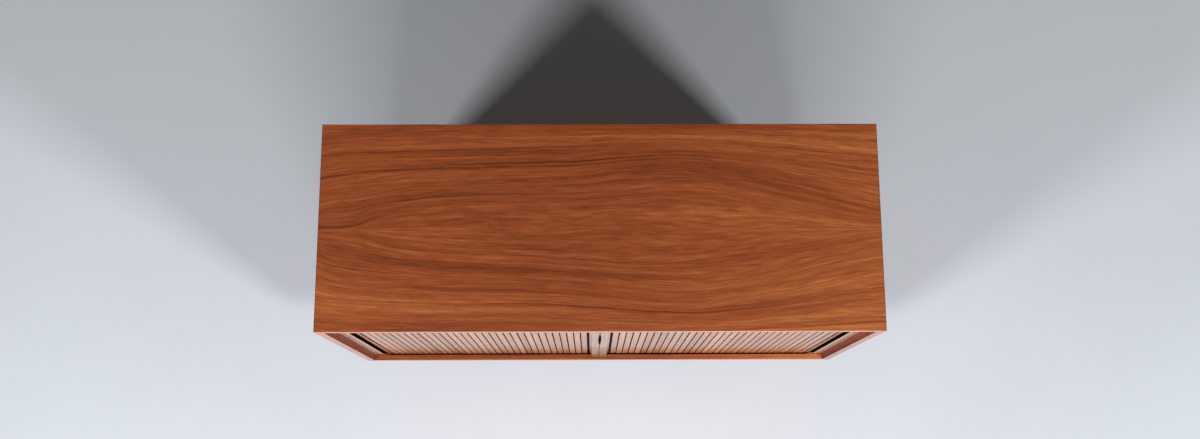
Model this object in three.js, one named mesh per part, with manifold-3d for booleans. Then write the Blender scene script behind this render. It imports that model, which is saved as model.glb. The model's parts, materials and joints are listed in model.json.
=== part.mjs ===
// A low cabinet with two tambour doors, on an inset base with four tapered legs.
// The case is four mitred walnut panels, with a coved stile at each end of the opening. Each door is
// a lead strip and a curtain of narrow slats on canvas, which slides sideways in a track and turns
// the front corner into a pocket behind a false side wall. The stiles hide the turning slats.
// Inside are a divider and one shelf on pins each side.
// Units are millimetres. X runs to the right, the front faces -Y and Z is up.
// The origin is on the floor, under the middle of the case.

import * as THREE from "three";
import { mergeVertices } from "three/addons/utils/BufferGeometryUtils.js";
import Module from "manifold-3d";

const wasm = await Module();
wasm.setup();

// Sizes of the case
const caseWidth = 1219.2;
const caseDepth = 457.2;
const caseHeight = 660.4;
const panelThickness = 19;
const arrisChamfer = 1.5; // along the four long outer corners
const glueGap = 0.3; // left at every glued, screwed or pinned joint
const cutOverrun = 1; // how far a cutter runs past the face it opens

// Sizes of the coved stiles at the ends of the opening
const coveWidth = 24;
const coveDepth = 22;
const coveLand = 0.8; // narrow flat beside the panel's edge
const coveHollow = 15.5; // depth of the flat band behind the hollow
const coveReach = 12; // how far in the hollow turns into the band
const coveLip = 1.2; // thickness of the band at its inner edge
const coveSteps = 12;

// Sizes of the tambour curtains and their track
const slatWidth = 14.4;
const slatSpace = 1.6;
const slatThickness = 6;
const slatChamfer = 1.4;
const canvasThickness = 1;
const curtainRecess = 17.2; // slat faces behind the front of the case
const bendRadius = 30; // of the canvas, at the corners of the track
const bendSteps = 14;
const trackPlay = 0.8; // behind the canvas, in its track
const trackFacePlay = 3; // in front of the slats, for their corners to pass in the bends
const trackDepth = 7;
const trackHeadroom = 2;
const footPlay = 0.3; // under the curtain, on the bed of the track
const pocketClearance = 3.6; // between the curtain and the inner walls and back of its pocket
const sideClearance = 13.1; // between the curtain and the side panel
const backRunLength = 180; // of the track, along the back
const tailLength = 32; // of the closed curtain, past the front bend

// Sizes of the lead strips, where the doors meet
const leadWidth = 19;
const leadShoulder = 5; // lower step beside the raised bar
const leadProud = 9.8; // raised bar in front of the slats
const leadChamfer = 1.5;
const leadSlatSpace = 4.7; // bare canvas before the first slat
const leadEndGap = 1; // between the raised bar and the case
const meetingGap = 1;
const notchLength = 226; // of the finger notch in the meeting edges
const notchDepth = 2.8; // into each strip
const notchDrop = 236; // middle of the notch, below the top of the case
const notchSteps = 10;

// Sizes of the interior
const falseWallThickness = 12;
const falseBackThickness = 12;
const dividerThickness = 16;
const dividerClearance = 3; // behind the front track
const cornerSteps = 10;
const shelfThickness = 16;
const shelfRise = 300; // underside of the shelf, above the case floor
const shelfSidePlay = 0.8;
const shelfSetback = 12; // behind the front edge of the false wall
const pinRadius = 2.5;
const pinInset = 6; // into the wall
const pinReach = 8; // under the shelf
const pinEdge = 40; // from the shelf's front and back edges
const pinHolePitch = 32;
const pinHoleCount = 5;
const roundSides = 12;

// Sizes of the back panel and its screws
const rabbetWidth = 8; // along the depth of the case
const rabbetReach = 9; // into the thickness of each panel
const backThickness = 6;
const backScrewRadius = 1.5;
const backScrewLength = 16;
const backScrewHeadRadius = 3.2;
const backScrewHeadThickness = 1.5;

// Sizes of the base
const baseHeight = 203.2;
const legInsetSide = 60;
const legInsetFront = 40;
const legSide = 42;
const footSide = 26;
const legEase = 3;
const legStraight = 66;
const railHeight = 58;
const railThickness = 20;
const railSetback = 5; // behind the outer face of the leg
const glideRadius = 9;
const glideFlatRadius = 7;
const glideDome = 2;
const glideHeight = 5;
const blockThickness = 20;
const blockGap = 4; // between a corner block and the corner of its leg
const blockDepth = 24; // across the diagonal band
const baseScrewRadius = 2.2;
const baseScrewBite = 11; // into the case bottom
const baseScrewHeadRadius = 4.5;
const baseScrewHeadThickness = 3;

// Finishes
const finish = (color, roughness, metalness) =>
  new THREE.MeshStandardMaterial({ color, roughness, metalness });
const veneer = finish(0x9b5330, 0.42, 0);
const solidWalnut = finish(0xa5623c, 0.45, 0);
const slatWalnut = finish(0xb0714b, 0.5, 0);
const innerPly = finish(0xc29a6b, 0.6, 0);
const steel = finish(0xb9b9b6, 0.35, 1);
const nylon = finish(0x4a4038, 0.5, 0);

// Planes that the pieces share, measured in the case, whose underside is at zero height
const halfWidth = caseWidth / 2;
const innerHalf = halfWidth - panelThickness;
const frontY = -caseDepth / 2;
const backY = caseDepth / 2;
const floorZ = panelThickness;
const ceilingZ = caseHeight - panelThickness;
const rabbetY = backY - rabbetWidth;
const canvasInner = canvasThickness / 2;
const slatFace = canvasInner + slatThickness;
const frontCanvasY = frontY + curtainRecess + slatFace;
const frontBendY = frontCanvasY + bendRadius;
const backCanvasY = rabbetY - pocketClearance - slatFace;
const backBendY = backCanvasY - bendRadius;
const bendX = innerHalf - sideClearance - slatFace - bendRadius;
const cornerRadius = bendRadius - canvasInner - pocketClearance; // outside of the bent corners
const curtainFoot = floorZ - trackDepth + footPlay;
const curtainHead = ceilingZ + trackDepth - trackHeadroom;
const leadEdge = meetingGap / 2 + leadWidth + leadShoulder;
const slatPitch = slatWidth + slatSpace;
const firstSlat = leadEdge + leadSlatSpace;
const frontSlats = Math.ceil((bendX - firstSlat) / slatPitch);

const xAxis = new THREE.Vector3(1, 0, 0);
const yAxis = new THREE.Vector3(0, 1, 0);
const zAxis = new THREE.Vector3(0, 0, 1);
const sides = { left: -1, right: 1 };
const quarterTurn = Math.PI / 2;

const count = (n) => Array.from({ length: n }, (_, i) => i);
const mirrored = (points, side) => points.map(([x, y]) => [side * x, y]);

// A closed geometry as a solid for cutting, and a solid as a geometry for a mesh.
function toSolid(geometry) {
  const bare = geometry.clone();
  bare.deleteAttribute("normal");
  bare.deleteAttribute("uv");
  const merged = mergeVertices(bare);
  return new wasm.Manifold(
    new wasm.Mesh({
      numProp: 3,
      vertProperties: merged.attributes.position.array,
      triVerts: new Uint32Array(merged.index.array),
    }),
  );
}

function toGeometry(solid) {
  const made = solid.getMesh();
  return new THREE.BufferGeometry()
    .setAttribute("position", new THREE.BufferAttribute(made.vertProperties, 3))
    .setIndex(new THREE.BufferAttribute(made.triVerts, 1));
}

function cut(geometry, cutters) {
  const whole = cutters.reduce((left, cutter) => left.subtract(toSolid(cutter)), toSolid(geometry));
  return toGeometry(whole);
}

function join(...geometries) {
  return toGeometry(geometries.map(toSolid).reduce((sum, next) => sum.add(next)));
}

// An outline drawn along two axes of the cabinet and swept along the third, from an origin.
function sweep(outline, length, across, up, along, origin) {
  const shape = new THREE.Shape(outline.map(([x, y]) => new THREE.Vector2(x, y)));
  const swept = new THREE.ExtrudeGeometry(shape, { depth: length, bevelEnabled: false });
  const placed = new THREE.Matrix4().makeBasis(across, up, along);
  return swept.applyMatrix4(placed.setPosition(origin));
}

// A plan outline raised from one height to another.
function upright(plan, bottom, top) {
  return sweep(plan, top - bottom, xAxis, yAxis, zAxis, new THREE.Vector3(0, 0, bottom));
}

// An outline in X and Z swept from the front to the back.
function frontToBack(outline, front, back) {
  const forwards = yAxis.clone().negate();
  return sweep(outline, back - front, xAxis, zAxis, forwards, new THREE.Vector3(0, back, 0));
}

function slab([x0, x1], [y0, y1], [z0, z1]) {
  const plan = [
    [x0, y0],
    [x1, y0],
    [x1, y1],
    [x0, y1],
  ];
  return upright(plan, z0, z1);
}

// A round bar between two places along X or Y.
function roundBar(axis, radius, from, to, centre) {
  const bar = new THREE.CylinderGeometry(radius, radius, to - from, roundSides);
  const turn = new THREE.Quaternion().setFromUnitVectors(yAxis, axis);
  const middle = centre.clone().addScaledVector(axis, (from + to) / 2);
  return bar.applyQuaternion(turn).translate(middle.x, middle.y, middle.z);
}

// Plan rings stacked up into one closed skin.
function loft(rings) {
  const points = rings.flatMap(({ plan, height }) => plan.map(([x, y]) => [x, y, height]));
  const n = rings[0].plan.length;
  const faces = [];
  for (const level of count(rings.length - 1)) {
    for (const i of count(n)) {
      const a = level * n + i;
      const b = level * n + ((i + 1) % n);
      faces.push(a, b, b + n, a, b + n, a + n);
    }
  }
  const roof = (rings.length - 1) * n;
  for (const i of count(n - 2)) {
    faces.push(0, i + 2, i + 1, roof, roof + i + 1, roof + i + 2);
  }
  const skin = new THREE.BufferGeometry();
  skin.setAttribute("position", new THREE.Float32BufferAttribute(points.flat(), 3));
  return skin.setIndex(faces);
}

function piece(name, material, geometry) {
  const shown = geometry.clone();
  shown.computeVertexNormals();
  const mesh = new THREE.Mesh(shown, material);
  mesh.name = name;
  return mesh;
}

// The line that the canvas follows on the right, moved outwards by an offset: round the front
// bend, along the side, round the back bend and along the back.
function trackLine(offset) {
  const radius = bendRadius + offset;
  const bend = (centreY, start) =>
    count(bendSteps + 1).map((i) => {
      const angle = start + (quarterTurn * i) / bendSteps;
      return [bendX + radius * Math.cos(angle), centreY + radius * Math.sin(angle)];
    });
  const end = [bendX - backRunLength, backBendY + radius];
  return [...bend(frontBendY, -quarterTurn), ...bend(backBendY, 0), end];
}

// The whole track as a groove, opened into the floor or the ceiling of the case.
function trackGroove(bottom, top) {
  const outer = trackLine(slatFace + trackFacePlay);
  const inner = trackLine(-canvasInner - trackPlay);
  const plan = [
    ...mirrored(outer, sides.left).reverse(),
    ...outer,
    ...inner.toReversed(),
    ...mirrored(inner, sides.left),
  ];
  return upright(plan, bottom, top);
}

// The rabbet that the back panel drops into, cut through all four panels as one box.
const rabbet = slab(
  [-innerHalf - rabbetReach, innerHalf + rabbetReach],
  [rabbetY, backY + cutOverrun],
  [floorZ - rabbetReach, ceilingZ + rabbetReach],
);

// Back screws: three along the top, three along the bottom and one up each side.
const screwLine = innerHalf + rabbetReach / 2;
const screwRows = { bottom: floorZ - rabbetReach / 2, top: ceilingZ + rabbetReach / 2 };
const screwColumns = { left: -screwLine / 2, middle: 0, right: screwLine / 2 };
const backScrewPlaces = [
  ...Object.entries(screwRows).flatMap(([row, z]) =>
    Object.entries(screwColumns).map(([column, x]) => ({ name: `${row}_${column}`, x, z })),
  ),
  ...Object.entries(sides).map(([name, side]) => ({
    name: `side_${name}`,
    x: side * screwLine,
    z: caseHeight / 2,
  })),
];
const backPanelY = rabbetY + backThickness;
const backScrewHoles = backScrewPlaces.map(({ x, z }) =>
  roundBar(
    yAxis,
    backScrewRadius + glueGap,
    backPanelY - backScrewLength - glueGap,
    backPanelY + cutOverrun,
    new THREE.Vector3(x, 0, z),
  ),
);

// Legs stand in from the edges of the case, and corner blocks are screwed up into the case.
const legOuterX = halfWidth - legInsetSide;
const legOuterY = backY - legInsetFront;
const corners = Object.entries(sides).flatMap(([sideName, side]) =>
  Object.entries({ front: -1, back: 1 }).map(([endName, end]) => ({
    name: `${endName}_${sideName}`,
    side,
    end,
    place: (inX, inY) => [side * (legOuterX - inX), end * (legOuterY - inY)],
  })),
);
const railInner = railSetback + railThickness;
const blockNear = 2 * (legSide + blockGap);
const blockFar = blockNear + blockDepth * Math.SQRT2;
const blockScrewIn = (blockNear + blockFar) / 4;
const screwHole = (x, y, radius, bottom, top) =>
  roundBar(zAxis, radius, bottom, top, new THREE.Vector3(x, y, 0));
const baseScrewHoles = corners.map(({ place }) => {
  const [x, y] = place(blockScrewIn, blockScrewIn);
  return screwHole(x, y, baseScrewRadius + glueGap, -cutOverrun, baseScrewBite + glueGap);
});

// The case: top and bottom lie between the two sides, and all four meet in mitres.
function casePanels() {
  const outer = arrisChamfer / 2; // where a chamfered arris meets the mitre
  const flat = halfWidth - arrisChamfer;
  const lying = (outside, inwards) => [
    [-flat, outside],
    [flat, outside],
    [halfWidth - outer - glueGap, outside + inwards * outer],
    [innerHalf - glueGap, outside + inwards * panelThickness],
    [glueGap - innerHalf, outside + inwards * panelThickness],
    [glueGap + outer - halfWidth, outside + inwards * outer],
  ];
  const standing = (side) => [
    [side * halfWidth, arrisChamfer],
    [side * (halfWidth - outer), outer],
    [side * innerHalf, floorZ],
    [side * innerHalf, ceilingZ],
    [side * (halfWidth - outer), caseHeight - outer],
    [side * halfWidth, caseHeight - arrisChamfer],
  ];
  const panel = (outline, cutters) =>
    cut(frontToBack(outline, frontY, backY), [rabbet, ...backScrewHoles, ...cutters]);
  const topGroove = trackGroove(ceilingZ - cutOverrun, ceilingZ + trackDepth);
  const bottomGroove = trackGroove(floorZ - trackDepth, floorZ + cutOverrun);
  return [
    piece("case_top", veneer, panel(lying(caseHeight, -1), [topGroove])),
    piece("case_bottom", veneer, panel(lying(0, 1), [bottomGroove, ...baseScrewHoles])),
    piece("case_left_side", veneer, panel(standing(sides.left), [])),
    piece("case_right_side", veneer, panel(standing(sides.right), [])),
  ];
}

// A coved stile: hollow from the side panel's front edge to a flat band, which is backed off
// behind to a thin lip at its inner edge.
function coveStile(side) {
  const curve = count(coveSteps + 1).map((i) => {
    const angle = (quarterTurn * i) / coveSteps;
    return [coveReach - (coveReach - coveLand) * Math.cos(angle), coveHollow * Math.sin(angle)];
  });
  const lip = [
    [coveWidth, coveHollow],
    [coveWidth, coveHollow + coveLip],
  ];
  const outline = [[0, 0], ...curve, ...lip, [coveReach, coveDepth], [0, coveDepth]];
  const plan = outline.map(([inward, deep]) => [innerHalf - glueGap - inward, frontY + deep]);
  return upright(mirrored(plan, side), floorZ + glueGap, ceilingZ - glueGap);
}

// Where the canvas is after a length past the start of the front bend, and which way it runs.
function onTrack(length) {
  const turned = length / bendRadius;
  if (turned < quarterTurn) {
    return {
      x: bendX + bendRadius * Math.sin(turned),
      y: frontBendY - bendRadius * Math.cos(turned),
      turned,
    };
  }
  const straight = length - quarterTurn * bendRadius;
  return { x: bendX + bendRadius, y: frontBendY + straight, turned: quarterTurn };
}

// The plan of a stretch of curtain: chamfered slats in front of one unbroken canvas.
function curtainPlan(slats, bareCanvas) {
  const at = ({ x, y, turned }, along, out) => [
    x + along * Math.cos(turned) + out * Math.sin(turned),
    y + along * Math.sin(turned) - out * Math.cos(turned),
  ];
  const half = slatWidth / 2;
  const front = slats.flatMap((slat) => [
    at(slat, -half, canvasInner),
    at(slat, -half, slatFace - slatChamfer),
    at(slat, slatChamfer - half, slatFace),
    at(slat, half - slatChamfer, slatFace),
    at(slat, half, slatFace - slatChamfer),
    at(slat, half, canvasInner),
  ]);
  const back = slats.flatMap((slat) => [at(slat, -half, -canvasInner), at(slat, half, -canvasInner)]);
  if (bareCanvas > 0) {
    front.unshift(at(slats[0], -half - bareCanvas, canvasInner));
    back.unshift(at(slats[0], -half - bareCanvas, -canvasInner));
  }
  return [...front, ...back.reverse()];
}

// A door: the lead strip, the slats that lie across the front, and the slats round the bend.
function door(name, side) {
  const raise = (plan, bottom, top) => upright(mirrored(plan, side), bottom, top);
  const inner = meetingGap / 2;
  const tongueFront = frontY + curtainRecess;
  const tongueBack = tongueFront + slatThickness + canvasThickness;
  const barFront = tongueFront - leadProud;
  const bar = raise(
    [
      [inner, tongueBack],
      [inner, barFront + leadChamfer],
      [inner + leadChamfer, barFront],
      [inner + leadWidth - leadChamfer, barFront],
      [inner + leadWidth, barFront + leadChamfer],
      [inner + leadWidth, tongueBack],
    ],
    floorZ + leadEndGap,
    ceilingZ - leadEndGap,
  );
  const tonguePlan = [
    [inner, tongueFront],
    [leadEdge, tongueFront],
    [leadEdge, tongueBack],
    [inner, tongueBack],
  ];
  const tongue = raise(tonguePlan, curtainFoot, curtainHead);
  const notchCurve = count(notchSteps + 1).map((i) => {
    const along = (2 * i) / notchSteps - 1;
    const middle = caseHeight - notchDrop;
    return [inner + notchDepth * (1 - along * along), middle + (along * notchLength) / 2];
  });
  const notchOutline = [[0, notchCurve[0][1]], ...notchCurve, [0, notchCurve[notchSteps][1]]];
  const notchReach = [barFront - cutOverrun, tongueBack + cutOverrun];
  const notch = frontToBack(mirrored(notchOutline, side), ...notchReach);

  const across = count(frontSlats).map((i) => ({
    x: firstSlat + slatWidth / 2 + i * slatPitch,
    y: frontCanvasY,
    turned: 0,
  }));
  const pastBend = firstSlat + frontSlats * slatPitch - bendX;
  const tailRun = quarterTurn * bendRadius + tailLength - pastBend;
  const round = count(Math.ceil(tailRun / slatPitch)).map((i) =>
    onTrack(pastBend + slatWidth / 2 + i * slatPitch),
  );
  const frontCurtain = raise(curtainPlan(across, leadSlatSpace - glueGap), curtainFoot, curtainHead);
  const tailCurtain = raise(curtainPlan(round, 0), curtainFoot, curtainHead);
  return [
    piece(`${name}_lead_strip`, solidWalnut, cut(join(tongue, bar), [notch])),
    piece(`${name}_tambour`, slatWalnut, frontCurtain),
    piece(`${name}_tambour_tail`, slatWalnut, tailCurtain),
  ];
}

// The interior: false side walls and a false back that hide the curtains, with a bent corner
// between them at each back bend, a divider, and a shelf on four pins in each half.
const wallOuter = bendX + cornerRadius;
const wallInner = wallOuter - falseWallThickness;
const falseBackOuter = backBendY + cornerRadius;
const falseBackFront = falseBackOuter - falseBackThickness;
const wallHead = ceilingZ - glueGap;
const dividerHalf = dividerThickness / 2;
const shelfFront = frontBendY + shelfSetback;
const shelfBack = falseBackFront - shelfSidePlay;
const pinHeight = floorZ + shelfRise - pinRadius - glueGap;
const pinRows = { front: shelfFront + pinEdge, back: shelfBack - pinEdge };

// Blind holes for shelf pins, in one column at each pin row of a wall face.
function pinHoles(faceX, into) {
  const reach = faceX + into * (pinInset + glueGap);
  const over = faceX - into * cutOverrun;
  return Object.values(pinRows).flatMap((y) =>
    count(pinHoleCount).map((i) => {
      const z = pinHeight + (i - (pinHoleCount - 1) / 2) * pinHolePitch;
      const ends = [Math.min(reach, over), Math.max(reach, over)];
      return roundBar(xAxis, pinRadius + glueGap, ...ends, new THREE.Vector3(0, y, z));
    }),
  );
}

// A quarter circle about the centre of a back bend, from the side to the back.
function cornerArc(radius) {
  return count(cornerSteps + 1).map((i) => {
    const angle = (quarterTurn * i) / cornerSteps;
    return [bendX + radius * Math.cos(angle), backBendY + radius * Math.sin(angle)];
  });
}

function shelfAndPins(name, side) {
  const faces = { inner: { x: dividerHalf, into: -1 }, outer: { x: wallInner, into: 1 } };
  const shelfInner = dividerHalf + shelfSidePlay;
  const roundedCorner = cornerArc(cornerRadius - falseWallThickness - shelfSidePlay);
  const plan = [
    [shelfInner, shelfFront],
    [wallInner - shelfSidePlay, shelfFront],
    ...roundedCorner,
    [shelfInner, shelfBack],
  ];
  const underside = floorZ + shelfRise;
  const shelf = upright(mirrored(plan, side), underside, underside + shelfThickness);
  const pins = Object.entries(faces).flatMap(([faceName, { x, into }]) =>
    Object.entries(pinRows).map(([row, y]) => {
      const ends = [side * (x + into * pinInset), side * (x - into * pinReach)];
      const centre = new THREE.Vector3(0, y, pinHeight);
      const bar = roundBar(xAxis, pinRadius, Math.min(...ends), Math.max(...ends), centre);
      return piece(`${name}_pin_${row}_${faceName}`, steel, bar);
    }),
  );
  return [piece(`${name}_shelf`, innerPly, shelf), ...pins];
}

function falseWall(side) {
  const wall = slab(
    [side * wallInner, side * wallOuter],
    [frontBendY, backBendY - glueGap],
    [floorZ, wallHead],
  );
  return cut(wall, pinHoles(side * wallInner, side));
}

// A corner of bent ply, as thick as the walls that it joins.
function bentCorner(side) {
  const inside = cornerArc(cornerRadius - falseWallThickness).reverse();
  return upright(mirrored([...cornerArc(cornerRadius), ...inside], side), floorZ, wallHead);
}

function interior() {
  const heights = [floorZ, wallHead];
  const dividerFront = frontCanvasY + canvasInner + trackPlay + dividerClearance;
  const dividerDepth = [dividerFront, falseBackFront - glueGap];
  const divider = slab([-dividerHalf, dividerHalf], dividerDepth, heights);
  const dividerHoles = Object.values(sides).flatMap((side) => pinHoles(side * dividerHalf, -side));
  const backEnd = bendX - glueGap;
  const falseBack = slab([-backEnd, backEnd], [falseBackFront, falseBackOuter], heights);
  return [
    piece("centre_divider", innerPly, cut(divider, dividerHoles)),
    piece("false_back", innerPly, falseBack),
    ...Object.entries(sides).flatMap(([name, side]) => [
      piece(`${name}_false_wall`, innerPly, falseWall(side)),
      piece(`${name}_bent_corner`, innerPly, bentCorner(side)),
      ...shelfAndPins(name, side),
    ]),
  ];
}

// A pan-head screw along Z with its head's underside at zero: the shank points up.
function screw(shankRadius, shankLength, headRadius, headThickness) {
  const profile = [
    [0, -headThickness],
    [headRadius, -headThickness],
    [headRadius, 0],
    [shankRadius, 0],
    [shankRadius, shankLength],
    [0, shankLength],
  ];
  const lathe = new THREE.LatheGeometry(
    profile.map(([x, y]) => new THREE.Vector2(x, y)),
    roundSides,
  );
  return lathe.rotateX(quarterTurn);
}

// The back panel lies in the rabbet, with the screws' heads inside the depth of the case.
function back() {
  const half = innerHalf + rabbetReach - glueGap;
  const heights = [floorZ - rabbetReach + glueGap, ceilingZ + rabbetReach - glueGap];
  const panel = cut(slab([-half, half], [rabbetY, backPanelY], heights), backScrewHoles);
  const screws = backScrewPlaces.map(({ name, x, z }) => {
    const mesh = piece(
      `back_screw_${name}`,
      steel,
      screw(backScrewRadius, backScrewLength, backScrewHeadRadius, backScrewHeadThickness),
    );
    mesh.position.set(x, backPanelY + glueGap, z);
    mesh.rotation.x = quarterTurn;
    return mesh;
  });
  return [piece("back_panel", innerPly, panel), ...screws];
}

// A leg: square where the rails meet it, then tapered on its two inner faces.
function leg({ place }) {
  const ring = (side, height) => {
    const far = side - legEase;
    const plan = [
      [legEase, 0],
      [far, 0],
      [side, legEase],
      [side, far],
      [far, side],
      [legEase, side],
      [0, far],
      [0, legEase],
    ].map(([inX, inY]) => place(inX, inY));
    const turnsLeft = THREE.ShapeUtils.area(plan.map(([x, y]) => new THREE.Vector2(x, y))) > 0;
    return { plan: turnsLeft ? plan : plan.reverse(), height };
  };
  const taperEnd = baseHeight - legStraight;
  return loft([
    ring(footSide, glideHeight),
    ring(legSide, taperEnd),
    ring(legSide, baseHeight),
  ]);
}

function glide() {
  const profile = [
    [0, 0],
    [glideFlatRadius, 0],
    [glideRadius, glideDome],
    [glideRadius, glideHeight],
    [0, glideHeight],
  ];
  return new THREE.LatheGeometry(
    profile.map(([x, y]) => new THREE.Vector2(x, y)),
    roundSides,
  ).rotateX(quarterTurn);
}

// A corner block: a diagonal band across the corner, behind the leg, from rail to rail.
function cornerBlock({ place }) {
  const near = blockNear - railInner;
  const far = blockFar - railInner;
  const plan = [
    [near, railInner],
    [far, railInner],
    [railInner, far],
    [railInner, near],
  ].map(([inX, inY]) => place(inX + glueGap, inY + glueGap));
  const [x, y] = place(blockScrewIn, blockScrewIn);
  const bottom = baseHeight - blockThickness;
  const hole = screwHole(x, y, baseScrewRadius + glueGap, bottom - cutOverrun, baseHeight + cutOverrun);
  return cut(upright(plan, bottom, baseHeight), [hole]);
}

function base() {
  const railHeights = [baseHeight - railHeight, baseHeight];
  const between = (outer, sign) => [sign * (outer - railSetback), sign * (outer - railInner)];
  const length = (outer) => [glueGap + legSide - outer, outer - legSide - glueGap];
  const longRail = (end) => slab(length(legOuterX), between(legOuterY, end), railHeights);
  const shortRail = (side) => slab(between(legOuterX, side), length(legOuterY), railHeights);
  const shank = blockThickness + baseScrewBite - glueGap;
  const standing = corners.flatMap((corner) => {
    const foot = piece(`${corner.name}_glide`, nylon, glide());
    foot.position.set(...corner.place(footSide / 2, footSide / 2), 0);
    const fixing = piece(
      `${corner.name}_base_screw`,
      steel,
      screw(baseScrewRadius, shank, baseScrewHeadRadius, baseScrewHeadThickness),
    );
    const underBlock = baseHeight - blockThickness - glueGap;
    fixing.position.set(...corner.place(blockScrewIn, blockScrewIn), underBlock);
    return [
      piece(`${corner.name}_leg`, solidWalnut, leg(corner)),
      foot,
      piece(`${corner.name}_block`, innerPly, cornerBlock(corner)),
      fixing,
    ];
  });
  return [
    piece("front_rail", solidWalnut, longRail(-1)),
    piece("back_rail", solidWalnut, longRail(1)),
    piece("left_rail", solidWalnut, shortRail(sides.left)),
    piece("right_rail", solidWalnut, shortRail(sides.right)),
    ...standing,
  ];
}

const carcass = new THREE.Group();
carcass.position.z = baseHeight;
carcass.add(...casePanels(), ...interior(), ...back());
for (const [name, side] of Object.entries(sides)) {
  carcass.add(piece(`${name}_cove_stile`, solidWalnut, coveStile(side)));
  const doorGroup = new THREE.Group();
  doorGroup.add(...door(name, side));
  carcass.add(doorGroup);
}

const stand = new THREE.Group();
stand.add(...base());

const cabinet = new THREE.Group();
cabinet.add(stand, carcass);

export default cabinet;
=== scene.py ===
"""A low walnut cabinet with two tambour doors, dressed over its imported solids.

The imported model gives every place. The case's boards are copies of its solids with eased
arrises. The coved stiles, the slats, the canvas, the lead strips, the legs and the fittings are
surfaces worked out here. Each timber is a procedural finish whose grain follows its board.
Lengths are in millimetres where pieces are shaped, and in metres in the meshes, the finishes,
what is passed to a finish, and the studio.
"""

from __future__ import annotations

import json
import logging
import math
from dataclasses import dataclass, field, replace
from enum import Enum

import bmesh
import bpy
import numpy as np
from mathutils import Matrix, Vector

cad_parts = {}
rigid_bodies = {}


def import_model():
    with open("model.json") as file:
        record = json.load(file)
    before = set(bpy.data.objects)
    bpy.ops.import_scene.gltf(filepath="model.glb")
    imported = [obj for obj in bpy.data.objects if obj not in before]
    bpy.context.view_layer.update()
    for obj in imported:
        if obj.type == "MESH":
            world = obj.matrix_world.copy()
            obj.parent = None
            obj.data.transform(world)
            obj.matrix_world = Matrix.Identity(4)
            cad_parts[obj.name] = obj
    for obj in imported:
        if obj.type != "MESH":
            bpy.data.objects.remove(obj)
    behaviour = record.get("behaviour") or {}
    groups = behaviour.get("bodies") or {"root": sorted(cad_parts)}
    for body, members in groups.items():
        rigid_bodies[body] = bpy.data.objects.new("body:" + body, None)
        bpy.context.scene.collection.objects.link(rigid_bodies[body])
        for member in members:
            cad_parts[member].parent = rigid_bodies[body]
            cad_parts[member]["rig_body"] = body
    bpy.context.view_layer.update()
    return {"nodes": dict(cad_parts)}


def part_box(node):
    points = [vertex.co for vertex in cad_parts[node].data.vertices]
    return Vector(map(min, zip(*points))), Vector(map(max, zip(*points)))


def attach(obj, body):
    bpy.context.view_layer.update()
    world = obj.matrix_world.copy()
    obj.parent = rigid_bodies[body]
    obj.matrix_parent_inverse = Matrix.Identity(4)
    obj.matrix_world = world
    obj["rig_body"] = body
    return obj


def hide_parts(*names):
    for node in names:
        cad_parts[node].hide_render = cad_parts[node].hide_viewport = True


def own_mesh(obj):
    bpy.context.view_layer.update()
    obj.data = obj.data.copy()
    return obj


MM = 0.001
SIDES = {"left": -1.0, "right": 1.0}
ENDS = {"front": -1.0, "back": 1.0}
FIRST_SEED = 11
HALF_WIDTH = 0.6096  # the case's, in metres
HEIGHT = 0.8636
OVER_MITRE = HALF_WIDTH + HEIGHT  # from the top's middle to the floor, round the mitre
NO_LIPPING = -1.0  # a depth in front of every board
QUARTER = math.pi / 2
SHARP = math.radians(32.0)  # edges that turn more than this look sharp
NOISE_RANGE = (-0.3, 0.3)  # where nearly all soft noise lies

Rgb = tuple[int, int, int]
Tones = tuple[tuple[float, Rgb], ...]
Triple = tuple[float, float, float]
Points = tuple[tuple[float, float], ...]
Value = object  # a number, a colour or another node's output
Socket = bpy.types.NodeSocket
Material = bpy.types.Material
Mesh = bpy.types.Mesh

log = logging.getLogger("cabinet")


class Slot(Enum):
    """The record's material slots."""

    VENEER = "walnut_veneer"
    SOLID = "solid_walnut"
    TAMBOUR = "tambour_walnut"
    PLY = "inner_ply"
    STEEL = "steel"
    NYLON = "nylon"


class Grain(Enum):
    """Which way the grain runs: the turn and the shift that bring it to run along X."""

    ALONG_X = ((0.0, 0.0, 0.0), (0.0, 0.0, 0.0))
    ALONG_Y = ((0.0, 0.0, -QUARTER), (0.0, 0.0, 0.0))
    ALONG_Z = ((0.0, QUARTER, 0.0), (0.0, 0.0, 0.0))
    DOWN_LEFT_SIDE = ((0.0, QUARTER, 0.0), (-OVER_MITRE, 0.0, 0.0))
    DOWN_RIGHT_SIDE = ((0.0, -QUARTER, 0.0), (OVER_MITRE, 0.0, 0.0))


def linear(colour: Rgb) -> tuple[float, float, float, float]:
    """Turns a screen colour into the linear one that a shader takes.

    Args:
        colour: Red, green and blue from 0 to 255.

    Returns:
        Linear red, green, blue and an alpha of 1.
    """
    share = np.array(colour) / 255
    low, high = share / 12.92, ((share + 0.055) / 1.055) ** 2.4
    return (*(float(x) for x in np.where(share <= 0.04045, low, high)), 1.0)


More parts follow.
